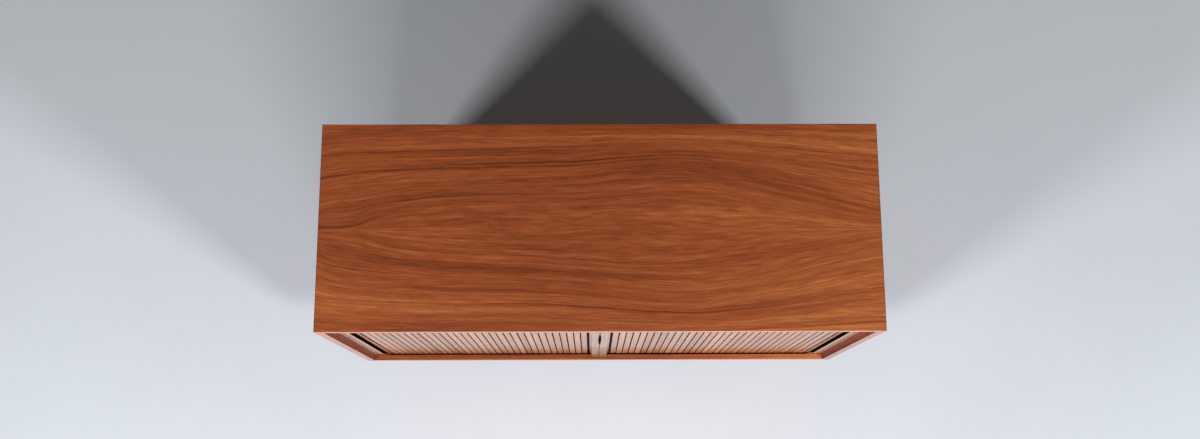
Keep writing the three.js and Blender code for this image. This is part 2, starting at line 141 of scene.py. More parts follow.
class Palette:
    """Lays out the nodes of one material."""

    def __init__(self, name: str) -> None:
        """Starts a material with a plain surface shader.

        Args:
            name: The material's name.
        """
        self.material = bpy.data.materials.new(name)
        self.material.use_nodes = True
        self.tree = self.material.node_tree
        self.surface = self.tree.nodes["Principled BSDF"]

    def add(self, kind: str, inputs: dict | None = None, **settings: object) -> bpy.types.Node:
        """Adds one node.

        Args:
            kind: The node's type, without its ShaderNode prefix.
            inputs: Values or other nodes' outputs, by socket.
            settings: The node's own settings.

        Returns:
            The new node.
        """
        node = self.tree.nodes.new("ShaderNode" + kind)
        for key, value in settings.items():
            setattr(node, key, value)
        for key, value in (inputs or {}).items():
            self.feed(node.inputs[key], value)
        return node

    def feed(self, socket: Socket, value: Value) -> None:
        """Gives a node's input its value.

        Args:
            socket: The input.
            value: A number, a colour or another node's output.
        """
        if isinstance(value, Socket):
            self.tree.links.new(value, socket)
        else:
            socket.default_value = value

    def place(self) -> Socket:
        """The place of a point in the piece, in metres."""
        return self.add("TexCoord").outputs["Object"]

    def measures(self, vector: Value) -> tuple[Socket, ...]:
        """The three measures of a place, apart."""
        return tuple(self.add("SeparateXYZ", {0: vector}).outputs)

    def joined(self, *measures: Value) -> Socket:
        """Three measures as one place."""
        return self.add("CombineXYZ", dict(enumerate(measures))).outputs[0]

    def turned(self, grain: Grain) -> Socket:
        """Turns the place of a point so that the grain runs along X.

        Args:
            grain: Which way the grain runs in the piece.

        Returns:
            The turned place.
        """
        turn, shift = grain.value
        inputs = {"Vector": self.place(), "Rotation": turn, "Location": shift}
        return self.add("Mapping", inputs).outputs[0]

    def mark(self, name: str) -> Socket:
        """A value that the mesh keeps at its points."""
        return self.add("Attribute", attribute_name=name).outputs["Fac"]

    def math(self, operation: str, *values: Value) -> Socket:
        """The result of one sum on one to three values."""
        return self.add("Math", dict(enumerate(values)), operation=operation).outputs[0]

    def product(self, one: Value, other: Value) -> Socket:
        """Two values multiplied."""
        return self.math("MULTIPLY", one, other)

    def total(self, first: Value, *others: Value) -> Socket:
        """Adds up several values.

        Args:
            first: The first value.
            others: The values to add to it, one after the other.

        Returns:
            Their sum.
        """
        for value in others:
            first = self.math("ADD", first, value)
        return first

    def spread(
        self, value: Value, low: Value, high: Value, start: Value, end: Value
    ) -> Socket:
        """Carries a value from the range low to high to the range start to end, and holds it there."""
        inputs = {"Value": value, "From Min": low, "From Max": high, "To Min": start, "To Max": end}
        return self.add("MapRange", inputs).outputs[0]

    def noise(self, vector: Value, scale: Triple, detail: float) -> Socket:
        """Makes soft noise about zero, with a scale of its own in each direction.

        Args:
            vector: Where it is read.
            scale: How many waves it has to the metre, along X, Y and Z.
            detail: How many finer layers are added.

        Returns:
            The noise, mostly between -0.3 and 0.3.
        """
        stretched = self.add("VectorMath", {0: vector, 1: scale}, operation="MULTIPLY").outputs[0]
        made = self.add("TexNoise", {"Vector": stretched, "Scale": 1.0, "Detail": detail})
        return self.math("SUBTRACT", made.outputs["Fac"], 0.5)

    def blend(self, share: Value, one: Value, other: Value) -> Socket:
        """One colour mixed into another by a share."""
        return self.add("Mix", {0: share, 6: one, 7: other}, data_type="RGBA").outputs[2]

    def tint(self, share: Value, colour: Value, stain: Rgb) -> Socket:
        """A colour with a share of a screen colour mixed in."""
        return self.blend(share, colour, linear(stain))

    def ramp(self, value: Value, stops: Tones) -> Socket:
        """Picks a colour from stops.

        Args:
            value: Where to pick, from 0 to 1.
            stops: Places from 0 to 1, each with its screen colour.

        Returns:
            The colour.
        """
        node = self.add("ValToRGB", {0: value})
        bands = node.color_ramp.elements
        while len(bands) < len(stops):
            bands.new(0.5)
        for band, (place, colour) in zip(bands, stops):
            band.position = place
            band.color = linear(colour)
        return node.outputs[0]

    def curve(self, value: Value, points: Points) -> Socket:
        """Reads a smooth curve.

        Args:
            value: Where to read it, from 0 to 1.
            points: The points that it goes through, from 0 to 1 both ways.

        Returns:
            The curve's height.
        """
        node = self.add("FloatCurve", {1: value})
        line = node.mapping.curves[0].points
        while len(line) < len(points):
            line.new(0.5, 0.5)
        for point, place in zip(line, points):
            point.location = place
        node.mapping.update()
        return node.outputs[0]

    def relief(self, height: Value, distance: float) -> None:
        """Raises the surface by a height of up to a distance in metres."""
        bump = self.add("Bump", {"Height": height, "Distance": distance, "Strength": 1.0})
        self.feed(self.surface.inputs["Normal"], bump.outputs[0])

    def finish(self, **inputs: Value) -> Material:
        """Sets the surface's own sockets.

        Args:
            inputs: Values or other nodes' outputs, by socket, with underscores for spaces.

        Returns:
            The finished material.
        """
        for name, value in inputs.items():
            self.feed(self.surface.inputs[name.replace("_", " ")], value)
        return self.material


HEARTWOOD: Tones = (
    (0.0, (104, 44, 17)),
    (0.25, (133, 63, 29)),
    (0.5, (155, 77, 38)),
    (0.75, (176, 96, 50)),
    (1.0, (202, 120, 66)),
)
# a paler, greyer walnut for the slats, lead strips and stile band: partly the wood's own tone, partly a
# painted reflection of the pale floor on these front faces
SLAT_WOOD: Tones = (
    (0.0, (106, 68, 45)),
    (0.25, (137, 91, 61)),
    (0.5, (162, 112, 79)),
    (0.75, (182, 131, 96)),
    (1.0, (205, 156, 119)),
)


@dataclass
class Looks:
    """What a wooden surface's shader takes: numbers, colours or nodes' outputs."""

    colour: Value
    roughness: Value
    shine: Value
    sheen: Value = 0.0


@dataclass(frozen=True)
class Walnut:
    """Walnut in a satin oil finish. Its figure is streaks that follow the grain.

    On a figured board the streaks are read across the grain at a place worked out from guide
    lines: a long lens about the middle line with one arch outside it on each side. Darker rings
    follow the guide lines. The pores are too short to show the figure and stay straight.
    """

    name: str
    grain: Grain = Grain.ALONG_X
    figured: bool = False
    streaks: float = 1.0
    tone: float = 0.0
    roughness: float = 0.4
    banded_edges: bool = False
    edge_tone: float = 0.0
    slats: bool = False
    hollow: bool = False
    drift: Triple = (0.0, 0.0, 0.0)
    paler_ends: tuple[float, float] = (0.0, 0.0)
    stained_within: float = 0.0
    stained_heights: tuple[float, float] | None = None
    tones: Tones = HEARTWOOD

    # the figure's guide lines, as shares of its length and of the guides' reach
    middle_line = -0.006
    figure_length = (-0.61, 0.61)
    guide_reach = 0.16
    guides = {
        1.0: (
            ((0.0, 0.01), (0.055, 0.03), (0.1, 0.15), (0.15, 0.24), (0.22, 0.3), (0.33, 0.34),
             (0.46, 0.37), (0.58, 0.41), (0.68, 0.42), (0.78, 0.35), (0.86, 0.24), (0.94, 0.12),
             (1.0, 0.06)),
            ((0.0, 0.43), (0.05, 0.52), (0.16, 0.61), (0.33, 0.66), (0.46, 0.71), (0.55, 0.79),
             (0.64, 0.83), (0.73, 0.77), (0.82, 0.63), (0.91, 0.46), (1.0, 0.28)),
        ),
        -1.0: (
            ((0.0, 0.01), (0.055, 0.02), (0.1, 0.11), (0.15, 0.19), (0.23, 0.25), (0.34, 0.3),
             (0.45, 0.37), (0.56, 0.41), (0.66, 0.39), (0.77, 0.3), (0.89, 0.19), (1.0, 0.065)),
            ((0.0, 0.35), (0.065, 0.5), (0.2, 0.6), (0.37, 0.63), (0.49, 0.7), (0.58, 0.79),
             (0.66, 0.82), (0.74, 0.76), (0.82, 0.64), (0.91, 0.48), (1.0, 0.35)),
        ),
    }
    guide_places = (0.03, 0.085, 0.24)
    rings = (
        (0.0, 0.5), (0.1, 0.62), (0.2, 0.6), (0.26, 0.44), (0.31, 0.56), (0.35, 0.38),
        (0.39, 0.46), (0.435, 0.28), (0.46, 0.55), (0.52, 0.46), (0.55, 0.42), (0.565, 0.14),
        (0.59, 0.28), (0.64, 0.2), (0.68, 0.34), (0.71, 0.54), (0.78, 0.6), (0.86, 0.54),
        (1.0, 0.66),
    )
    ring_strength = 0.5

    # layers of noise, each with the waves that it is made of and its share of the tone
    wander_waves, wander_share = ((3.0, 9.0, 9.0), 2.0), 0.02
    band_waves, band_share = ((0.9, 24.0, 24.0), 1.5), 0.7
    streak_waves, streak_share = ((1.8, 110.0, 110.0), 4.0), 0.9
    vein_waves, vein_share, vein_range = ((0.8, 150.0, 150.0), 2.0), 0.42, (0.06, 0.24)
    fine_waves, fine_share = ((22.0, 400.0, 400.0), 3.0), 0.9
    pore_waves, pore_share, pore_range = ((55.0, 1500.0, 1500.0), 1.0), 0.6, (-0.14, -0.24)
    pore_colour = (84, 38, 18)
    relief_depth = 0.000012
    uneven_range, uneven_roughness = (-0.1, 0.8), 0.08
    shine = 0.5

    # the boards' ends and front edges; a lighter tone on the front edges is a painted highlight
    end_reach = (0.1, 0.58)
    front_edge, edge_shift, edge_roughness = -0.2278, 0.4, 0.18

    # painted shade: the track, the pockets and the slats' flanks are coloured dark where shade falls in
    # them
    stain, stain_share = (34, 5, 3), 0.97
    flank_stain, flank_share = (104, 14, 2), 0.9
    dull_roughness, matt_from = 0.5, 0.6
    groove_reach, groove_rim = 0.2195, (-0.2148, 0.0005)
    pocket_start, pocket_reach = 0.5475, 0.2118

    # the stile's hollow, the flat band behind it, and a painted highlight that makes the band's lip
    # pale
    hollow_depth, hollow_roughness, hollow_shine = (-0.2147, -0.2131), (0.7, 0.2), (0.2, 0.5)
    band_tone, band_streaks = 0.45, 0.5
    lip_reach, lip_share, lip_colour = (0.579, 0.568), 0.3, (210, 170, 145)
    lip_sheen, sheen_roughness = 0.8, 0.35

    def figure(self, paint: Palette, along: Value, across: Value) -> Socket:
        """Reads the place across the grain from the guide lines.

        On each side of the middle line, a place that lies on the first guide, on the second or
        just off the board's edge is carried to the three guide places, and places between them
        evenly in between. The two sides are summed, since each is held at zero on the other.

        Args:
            paint: The material being made.
            along: The place along the grain.
            across: The place across it.

        Returns:
            The place across the grain as the tree grew it.
        """
        share = paint.spread(along, *self.figure_length, 0.0, 1.0)
        away = paint.math("SUBTRACT", across, self.middle_line)
        near, far, edge = self.guide_places
        sides = []
        for sign, (first, second) in self.guides.items():
            reach = paint.product(away, sign)
            one = paint.product(paint.curve(share, first), self.guide_reach)
            two = paint.product(paint.curve(share, second), self.guide_reach)
            steps = (
                paint.spread(reach, 0.0, one, 0.0, near),
                paint.spread(reach, one, two, 0.0, far - near),
                paint.spread(reach, two, edge, 0.0, edge - far),
            )
            sides.append(paint.product(paint.total(*steps), sign))
        return paint.total(*sides)

    def ring_tone(self, paint: Palette, across: Value) -> Socket:
        """Finds how much darker or lighter the rings make a place across the grain.

        Args:
            paint: The material being made.
            across: The place across the grain as the tree grew it.

        Returns:
            What the rings add to the tone.
        """
        edge = self.guide_places[-1]
        found = paint.curve(paint.spread(across, -edge, edge, 0.0, 1.0), self.rings)
        return paint.product(paint.math("SUBTRACT", found, 0.5), self.ring_strength)

    def stained(
        self, paint: Palette, sideways: Value, depth: Value, height: Value
    ) -> Socket | None:
        """Finds the faces where shade is painted dark: a side's inner face, or the track and pockets.

        Args:
            paint: The material being made.
            sideways: The place along X.
            depth: The place along Y.
            height: The place along Z.

        Returns:
            1 where shade is painted and 0 elsewhere, or None where no shade is painted.
        """
        outward = paint.math("ABSOLUTE", sideways)
        if self.stained_within:
            return paint.math("LESS_THAN", outward, self.stained_within)
        if self.stained_heights:
            low, high = self.stained_heights
            level = paint.math("COMPARE", height, (low + high) / 2, (high - low) / 2)
            groove = paint.product(level, paint.math("COMPARE", depth, 0.0, self.groove_reach))
            above = paint.math("GREATER_THAN", height, low)
            beside = paint.math("GREATER_THAN", outward, self.pocket_start)
            behind = paint.math("COMPARE", depth, 0.0, self.pocket_reach)
            rim = paint.math("COMPARE", depth, *self.groove_rim)
            open_top = paint.math("MAXIMUM", paint.product(beside, behind), rim)
            return paint.math("MAXIMUM", groove, paint.product(open_top, above))
        return None

    def darkened(
        self, paint: Palette, looks: Looks, where: Value, stain: Rgb, share: float
    ) -> Looks:
        """Paints shade dark onto a part of the wood and takes its gloss away.

        Args:
            paint: The material being made.
            looks: The wood's looks.
            where: 1 where shade is painted, 0 elsewhere.
            stain: The screen colour of the painted shade.
            share: How much of the painted shade shows.

        Returns:
            The looks with the painted shade.
        """
        return Looks(
            colour=paint.tint(paint.product(where, share), looks.colour, stain),
            roughness=paint.total(looks.roughness, paint.product(where, self.dull_roughness)),
            shine=paint.spread(where, 0.0, self.matt_from, looks.shine, 0.0),
            sheen=looks.sheen,
        )

    def stile_looks(
        self, paint: Palette, looks: Looks, tone: Value, sideways: Value, depth: Value
    ) -> Looks:
        """Lays the stile's flat band, with a painted highlight on its lip, over the looks of the
        hollow.

        Args:
            paint: The material being made.
            looks: The hollow's looks.
            tone: The band's tone.
            sideways: The place along X.
            depth: The place along Y.

        Returns:
            The looks of the whole stile.
        """
        flat = paint.spread(depth, *self.hollow_depth, 0.0, 1.0)
        lip = paint.spread(paint.math("ABSOLUTE", sideways), *self.lip_reach, 0.0, 1.0)
        band = paint.ramp(tone, SLAT_WOOD)
        # painted highlight: the band is tinted pale towards its lip
        band = paint.tint(paint.product(lip, self.lip_share), band, self.lip_colour)
        return Looks(
            colour=paint.blend(flat, looks.colour, band),
            roughness=paint.spread(depth, *self.hollow_depth, *self.hollow_roughness),
            shine=paint.spread(depth, *self.hollow_depth, *self.hollow_shine),
            sheen=paint.product(paint.product(lip, flat), self.lip_sheen),
        )

    def material(self) -> Material:
        """Builds the finish: rings, broad bands, streaks, fine lines and pores along the grain.

        Returns:
            The finish.
        """
        paint = Palette(self.name)
        sideways, depth, height = paint.measures(paint.place())
        along, across, through = paint.measures(paint.turned(self.grain))
        tone, roughness = 0.5 + self.tone, self.roughness
        for measure, rate in zip((along, across, through), self.drift):
            if rate:
                tone = paint.total(tone, paint.product(measure, rate))
        # each end of a board grows paler; on the bottom board this is a painted highlight
        for way, rise in zip(SIDES.values(), self.paler_ends):
            if rise:
                outward = paint.product(sideways, way)
                tone = paint.total(tone, paint.spread(outward, *self.end_reach, 0.0, rise))
        if self.slats:
            along = paint.total(along, paint.mark("slat_shift"))
            tone = paint.total(tone, paint.mark("slat_tone"))
        grown = paint.joined(along, across, through)
        wander = paint.product(paint.noise(grown, *self.wander_waves), self.wander_share)
        if self.figured:
            across = paint.total(self.figure(paint, along, across), wander)
            tone = paint.total(tone, self.ring_tone(paint, across))
        else:
            across = paint.total(across, wander)
        if self.banded_edges:
            edge = paint.math("LESS_THAN", depth, self.front_edge)
            through = paint.total(through, paint.product(edge, self.edge_shift))
            # painted highlight: the banded front edges are lightened
            tone = paint.total(tone, paint.product(edge, self.edge_tone))
            roughness = paint.spread(edge, 0.0, 1.0, self.roughness, self.edge_roughness)
        lines = paint.joined(along, across, through)
        bands = paint.noise(lines, *self.band_waves)
        streaks = paint.noise(lines, *self.streak_waves)
        veins = paint.spread(paint.noise(lines, *self.vein_waves), *self.vein_range, 0.0, -1.0)
        fine = paint.product(paint.noise(lines, *self.fine_waves), self.fine_share)
        broad = paint.total(
            paint.product(bands, self.band_share * self.streaks),
            paint.product(streaks, self.streak_share * self.streaks),
            paint.product(veins, self.vein_share * self.streaks),
        )
        colour = paint.ramp(paint.total(tone, broad, fine), self.tones)
        looks = Looks(colour, roughness, self.shine)
        if self.hollow:
            faint = paint.product(paint.total(broad, fine), self.band_streaks)
            band_tone = paint.total(tone, faint, self.band_tone)
            looks = self.stile_looks(paint, looks, band_tone, sideways, depth)
        pores = paint.spread(paint.noise(grown, *self.pore_waves), *self.pore_range, 0.0, 1.0)
        looks.colour = paint.tint(paint.product(pores, self.pore_share), looks.colour, self.pore_colour)
        if self.slats:
            # painted shade: each slat's flanks are coloured dark red-brown towards the canvas, where
            # shade falls between the slats
            flank = paint.mark("slat_flank")
            looks = self.darkened(paint, looks, flank, self.flank_stain, self.flank_share)
        # painted shade: the pockets' walls and floor and the track's groove are coloured near black,
        # where shade falls
        stained = self.stained(paint, sideways, depth, height)
        if stained is not None:
            looks = self.darkened(paint, looks, stained, self.stain, self.stain_share)
        uneven = paint.spread(paint.total(fine, pores), *self.uneven_range, 0.0, self.uneven_roughness)
        paint.relief(paint.math("SUBTRACT", fine, pores), self.relief_depth)
        return paint.finish(
            Base_Color=looks.colour,
            Roughness=paint.total(looks.roughness, uneven),
            IOR=1.5,
            Specular_IOR_Level=looks.shine,
            Sheen_Weight=looks.sheen,
            Sheen_Roughness=self.sheen_roughness,
        )


@dataclass(frozen=True)
class PaleVeneer:
    """The pale veneered board of the inside, with a walnut lipping on its front edge."""

    name: str
    grain: Grain = Grain.ALONG_X
    lipping: float = NO_LIPPING
    pale: Tones = ((0.0, (170, 128, 84)), (0.5, (198, 158, 110)), (1.0, (216, 180, 134)))
    lipped: Tones = ((0.0, (96, 46, 22)), (0.5, (142, 73, 41)), (1.0, (182, 106, 64)))

    band_waves, band_share = ((1.4, 18.0, 18.0), 2.0), 0.9
    fine_waves, fine_share = ((9.0, 420.0, 420.0), 2.0), 0.5
    fleck_waves, fleck_share, fleck_range = ((120.0, 1100.0, 1100.0), 1.0), 0.35, (-0.16, -0.26)
    fleck_colour = (128, 90, 56)
    relief_depth, roughness = 0.00003, (0.46, 0.6)

    def material(self) -> Material:
        """Builds the finish: soft streaks with short flecks, and the lipping by depth.

        Returns:
            The finish.
        """
        paint = Palette(self.name)
        turned = paint.turned(self.grain)
        bands = paint.product(paint.noise(turned, *self.band_waves), self.band_share)
        fine = paint.noise(turned, *self.fine_waves)
        tone = paint.total(0.5, bands, paint.product(fine, self.fine_share))
        edge = paint.math("LESS_THAN", paint.measures(paint.place())[1], self.lipping)
        colour = paint.blend(edge, paint.ramp(tone, self.pale), paint.ramp(tone, self.lipped))
        flecks = paint.noise(turned, *self.fleck_waves)
        flecks = paint.spread(flecks, *self.fleck_range, 0.0, self.fleck_share)
        colour = paint.tint(flecks, colour, self.fleck_colour)
        paint.relief(fine, self.relief_depth)
        roughness = paint.spread(fine, *NOISE_RANGE, *self.roughness)
        return paint.finish(Base_Color=colour, Roughness=roughness, IOR=1.45)


@dataclass(frozen=True)
class CottonCanvas:
    """The duck canvas that the slats are glued to: a plain weave of thick threads. Its colour is
    darkened to a near-black red-brown as painted shade of the gaps between the slats.
    """

    name: str
    thread: float = 0.0009
    # painted shade: both thread colours are darker than the cloth's own
    light: Rgb = (84, 20, 9)
    dark: Rgb = (50, 11, 5)

    slub_waves, slub_share = ((60.0, 60.0, 700.0), 2.0), 0.8
    relief_depth = 0.00025

    def material(self) -> Material:
        """Builds the weave: the product of two waves, across and up, shades and raises it.

        Returns:
            The finish.
        """
        paint = Palette(self.name)
        found = paint.place()
        sideways, depth, height = paint.measures(found)
        beat = 2 * math.pi / self.thread
        weft = paint.math("SINE", paint.product(paint.total(sideways, depth), beat))
        warp = paint.math("SINE", paint.product(height, beat))
        weave = paint.spread(paint.product(weft, warp), -1.0, 1.0, 0.0, 1.0)
        slubs = paint.product(paint.noise(found, *self.slub_waves), self.slub_share)
        colour = paint.tint(paint.total(weave, slubs), linear(self.dark), self.light)
        paint.relief(weave, self.relief_depth)
        return paint.finish(Base_Color=colour, Roughness=0.92, Specular_IOR_Level=0.1)


@dataclass(frozen=True)
class ZincPlate:
    """Zinc-plated steel of the screws and shelf pins: faint clouds over fine scratches."""

    name: str
    light: Rgb = (196, 194, 186)
    dark: Rgb = (138, 138, 134)

    cloud_waves = (240.0, 240.0, 240.0), 3.0
    scratch_waves, scratch_range = ((400.0, 400.0, 5200.0), 2.0), (0.0, 1.2)
    relief_depth, roughness = 0.00002, (0.28, 0.46)

    def material(self) -> Material:
        """Builds the finish: clouds in the colour, scratches in the roughness.

        Returns:
            The finish.
        """
        paint = Palette(self.name)
        found = paint.place()
        clouds = paint.spread(paint.noise(found, *self.cloud_waves), *NOISE_RANGE, 0.0, 1.0)
        scratches = paint.noise(found, *self.scratch_waves)
        colour = paint.tint(clouds, linear(self.dark), self.light)
        paint.relief(scratches, self.relief_depth)
        marks = paint.total(scratches, clouds)
        roughness = paint.spread(marks, *self.scratch_range, *self.roughness)
        return paint.finish(Base_Color=colour, Roughness=roughness, Metallic=1.0)


@dataclass(frozen=True)
class MouldedNylon:
    """The dark nylon of the glides: a fine moulded skin, scuffed pale where it meets the floor."""

    name: str
    body: Rgb = (66, 56, 48)
    scuffed: Rgb = (112, 102, 92)

    speckle_waves = (1800.0, 1800.0, 1800.0), 2.0
    patch_waves, patch_range = ((260.0, 260.0, 260.0), 3.0), (-0.1, 0.2)
    scuff_height, scuff_share = 0.0016, 0.8
    relief_depth, roughness = 0.00005, (0.42, 0.7)

    def material(self) -> Material:
        """Builds the finish: speckle in the relief, and scuffs by height above the floor.

        Returns:
            The finish.
        """
        paint = Palette(self.name)
        found = paint.place()
        patches = paint.spread(paint.noise(found, *self.patch_waves), *self.patch_range, 0.0, 1.0)
        height = paint.measures(found)[2]
        low = paint.spread(height, 0.0, self.scuff_height, self.scuff_share, 0.0)
        scuffs = paint.product(low, patches)
        colour = paint.tint(scuffs, linear(self.body), self.scuffed)
        paint.relief(paint.noise(found, *self.speckle_waves), self.relief_depth)
        roughness = paint.spread(scuffs, 0.0, self.scuff_share, *self.roughness)
        return paint.finish(Base_Color=colour, Roughness=roughness, IOR=1.53)


@dataclass(frozen=True)
class PaleFloor:
    """The studio's plain pale floor, slightly mottled, with painted light that makes it a little paler
    behind the cabinet.
    """

    name: str
    light: Rgb = (224, 230, 238)
    dark: Rgb = (218, 224, 232)
    paler: Rgb = (240, 246, 252)

    cloud_waves = (1.6, 1.6, 1.6), 3.0
    paler_reach = (0.1, 1.1)

    def material(self) -> Material:
        """Builds the floor's finish: slow clouds and a matt roughness.

        Returns:
            The finish.
        """
        paint = Palette(self.name)
        found = paint.place()
        clouds = paint.spread(paint.noise(found, *self.cloud_waves), *NOISE_RANGE, 0.0, 1.0)
        colour = paint.tint(clouds, linear(self.dark), self.light)
        # painted light: the floor grows paler behind the cabinet, where the lamps light it less
        behind = paint.spread(paint.measures(found)[1], *self.paler_reach, 0.0, 1.0)
        colour = paint.tint(behind, colour, self.paler)
        return paint.finish(Base_Color=colour, Roughness=0.85, IOR=1.3)


def eased_outline(corners: np.ndarray, radii: np.ndarray, steps: int = 6) -> np.ndarray:
    """Rounds the corners of a closed outline.

    Each corner P becomes the curve (1-t)^2 A + 2 t (1-t) P + t^2 B, where A and B lie at its
    radius from P on the sides before and after it.

    Args:
        corners: Corner places, n by 2.
        radii: How far each curve reaches along both of its sides.
        steps: Points on each curve.

    Returns:
        The outline's points, n * steps by 2.
    """
    before = np.roll(corners, 1, axis=0) - corners
    after = np.roll(corners, -1, axis=0) - corners
    reach = np.asarray(radii, float)[:, None]
    start = corners + reach * before / np.linalg.norm(before, axis=1, keepdims=True)
    end = corners + reach * after / np.linalg.norm(after, axis=1, keepdims=True)
    t = np.linspace(0.0, 1.0, steps)[None, :, None]
    bent = (1 - t) ** 2 * start[:, None] + 2 * t * (1 - t) * corners[:, None] + t**2 * end[:, None]
    return bent.reshape(-1, 2)


def lofted(name: str, shells: np.ndarray, marks: dict[str, np.ndarray] | None = None) -> Mesh:
    """Skins closed sections into closed shells.

    Point j of ring i joins its neighbours j+1 and i+1 with one quad. The first and the last
    ring of each shell are closed with one flat face.

    Args:
        name: The mesh's name.
        shells: Places in millimetres: shells by rings by points by 3.
        marks: Values spread over the shells, rings and points, kept as attributes.

    Returns:
        The mesh, in metres, with its faces pointing outwards.
    """
    count, rings, points, _ = shells.shape
    index = np.arange(count * rings * points).reshape(count, rings, points)
    turned = np.roll(index, -1, axis=2)
    corners = (index[:, :-1], turned[:, :-1], turned[:, 1:], index[:, 1:])
    quads = np.stack(corners, axis=-1).reshape(-1, 4)
    caps = np.concatenate([index[:, 0, ::-1], index[:, -1]])
    mesh = bpy.data.meshes.new(name)
    mesh.from_pydata(shells.reshape(-1, 3) * MM, [], quads.tolist() + caps.tolist())
    for mark, values in (marks or {}).items():
        layer = mesh.attributes.new(mark, "FLOAT", "POINT")
        spread = np.broadcast_to(values, (count, rings, points)).astype(np.float32)
        layer.data.foreach_set("value", spread.ravel())
    work = bmesh.new()
    work.from_mesh(mesh)
    bmesh.ops.recalc_face_normals(work, faces=work.faces)
    work.to_mesh(mesh)
    work.free()
    shade(mesh)
    return mesh


def shade(mesh: Mesh) -> None:
    """Shades a mesh smooth, apart from its sharp edges."""
    mesh.shade_smooth()
    mesh.set_sharp_from_angle(angle=SHARP)


def upright(plan: np.ndarray, heights: np.ndarray) -> np.ndarray:
    """Stands a plan outline up.

    Args:
        plan: The outline's points, n by 2.
        heights: The heights of its rings.

    Returns:
        One shell: 1 by rings by n by 3.
    """
    flat = np.broadcast_to(plan, (len(heights), *plan.shape))
    level = np.broadcast_to(heights[:, None, None], (*flat.shape[:2], 1))
    return np.concatenate([flat, level], axis=2)[None]


def turned_shape(profile: np.ndarray, sides: int) -> np.ndarray:
    """Turns a profile round the Z axis.

    Point (r, z) at angle a becomes (r cos a, r sin a, z).

    Args:
        profile: Radius and height of each ring, n by 2, in millimetres.
        sides: Points round each ring.

    Returns:
        One shell of rings: 1 by n by sides by 3.
    """
    angle = np.arange(sides) * 2 * math.pi / sides
    radius, height = profile[:, :1], profile[:, 1:]
    round_x, round_y = radius * np.cos(angle), radius * np.sin(angle)
    return np.stack([round_x, round_y, np.broadcast_to(height, round_x.shape)], axis=-1)[None]


def added(data: bpy.types.ID) -> bpy.types.Object:
    """Adds an object to the scene, under the name of what it shows.

    Args:
        data: Its mesh, light or camera.

    Returns:
        The object.
    """
    made = bpy.data.objects.new(data.name, data)
    bpy.context.scene.collection.objects.link(made)
    return made


@dataclass
class Workshop:
    """Puts pieces into the scene, finishes them, and keeps count of them.

    On a copied solid, corners closer than the weld, in millimetres, become one, and so do
    faces that turn less than the flat angle, in degrees.
    """

    nodes: dict[str, bpy.types.Object]
    made: int = 0
    dressed: set[str] = field(default_factory=set)
    weld: float = 0.01
    flat: float = 0.5

    def box(self, node: str) -> tuple[np.ndarray, np.ndarray]:
        """The low and high corners of a solid, in millimetres."""
        low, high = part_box(node)
        return np.array(low) / MM, np.array(high) / MM

    def put(
        self, mesh: Mesh, body: str, slot: Slot, material: Material, *stands_for: str
    ) -> bpy.types.Object:
        """Adds one finished piece that rides on a body.

        Args:
            mesh: Its mesh, already in place, with the piece's name.
            body: The body that carries it.
            slot: Not used.
            material: Its finish.
            stands_for: The solids that it replaces.

        Returns:
            The piece.
        """
        piece = added(mesh)
        mesh.materials.append(material)
        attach(piece, body)
        if stands_for:
            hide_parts(*stands_for)
            self.dressed.update(stands_for)
        self.made += 1
        log.info("%s: %d faces, rides on %s", piece.name, len(mesh.polygons), body)
        return piece

    def ease(self, node: str, slot: Slot, material: Material, ease: float) -> None:
        """Replaces a solid by a copy of itself with its arrises rounded.

        Args:
            node: The solid.
            slot: The record's slot for its finish.
            material: Its finish.
            ease: The width of each rounding, in millimetres.
        """
        mesh = bpy.data.meshes.new(f"{node}_eased")
        work = bmesh.new()
        work.from_mesh(self.nodes[node].data)
        bmesh.ops.remove_doubles(work, verts=work.verts, dist=self.weld * MM)
        flat = math.radians(self.flat)
        bmesh.ops.dissolve_limit(work, angle_limit=flat, verts=work.verts, edges=work.edges)
        work.to_mesh(mesh)
        work.free()
        shade(mesh)
        piece = self.put(mesh, self.nodes[node]["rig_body"], slot, material, node)
        bevel = piece.modifiers.new("eased arrises", "BEVEL")
        bevel.width = ease * MM
        bevel.segments = 2
        bevel.limit_method = "ANGLE"
        bevel.angle_limit = SHARP
        bevel.harden_normals = True


@dataclass
class CaseShell:
    """The four mitred boards of the case, with one figure that runs over the mitres."""

    ease: float = 0.8
    board_tone: float = -0.03
    floor_tone: float = -0.17
    # painted highlight on the front edges of the top, the bottom and the left side
    edge_tone: float = 0.3
    right_edge_tone: float = 0.0
    top_drift: Triple = (0.0, -0.36, 0.0)
    top_ends: tuple[float, float] = (0.07, 0.2)
    # painted highlight: the bottom board grows paler towards its ends, most at the right
    floor_ends: tuple[float, float] = (0.04, 0.54)
    # where shade is painted near black: the floor board's groove and pockets, and the sides' inner
    # faces in the pockets
    track_heights: tuple[float, float] = (0.2140, 0.2219)
    pocket_face: float = 0.5908

    def build(self, shop: Workshop) -> None:
        """Eases each board and gives it the veneer that runs its way.

        Args:
            shop: Where the boards are put.
        """
        plain = Walnut(
            "case veneer",
            figured=True,
            tone=self.board_tone,
            banded_edges=True,
            edge_tone=self.edge_tone,
        )
        side = replace(plain, stained_within=self.pocket_face)
        boards = {
            "case_top": replace(plain, drift=self.top_drift, paler_ends=self.top_ends),
            "case_bottom": replace(
                plain,
                tone=self.floor_tone,
                paler_ends=self.floor_ends,
                stained_heights=self.track_heights,
            ),
            "case_left_side": replace(side, grain=Grain.DOWN_LEFT_SIDE),
            "case_right_side": replace(
                side, grain=Grain.DOWN_RIGHT_SIDE, edge_tone=self.right_edge_tone
            ),
        }
        for node, veneer in boards.items():
            finish = replace(veneer, name=f"{node} veneer").material()
            shop.ease(node, Slot.VENEER, finish, self.ease)


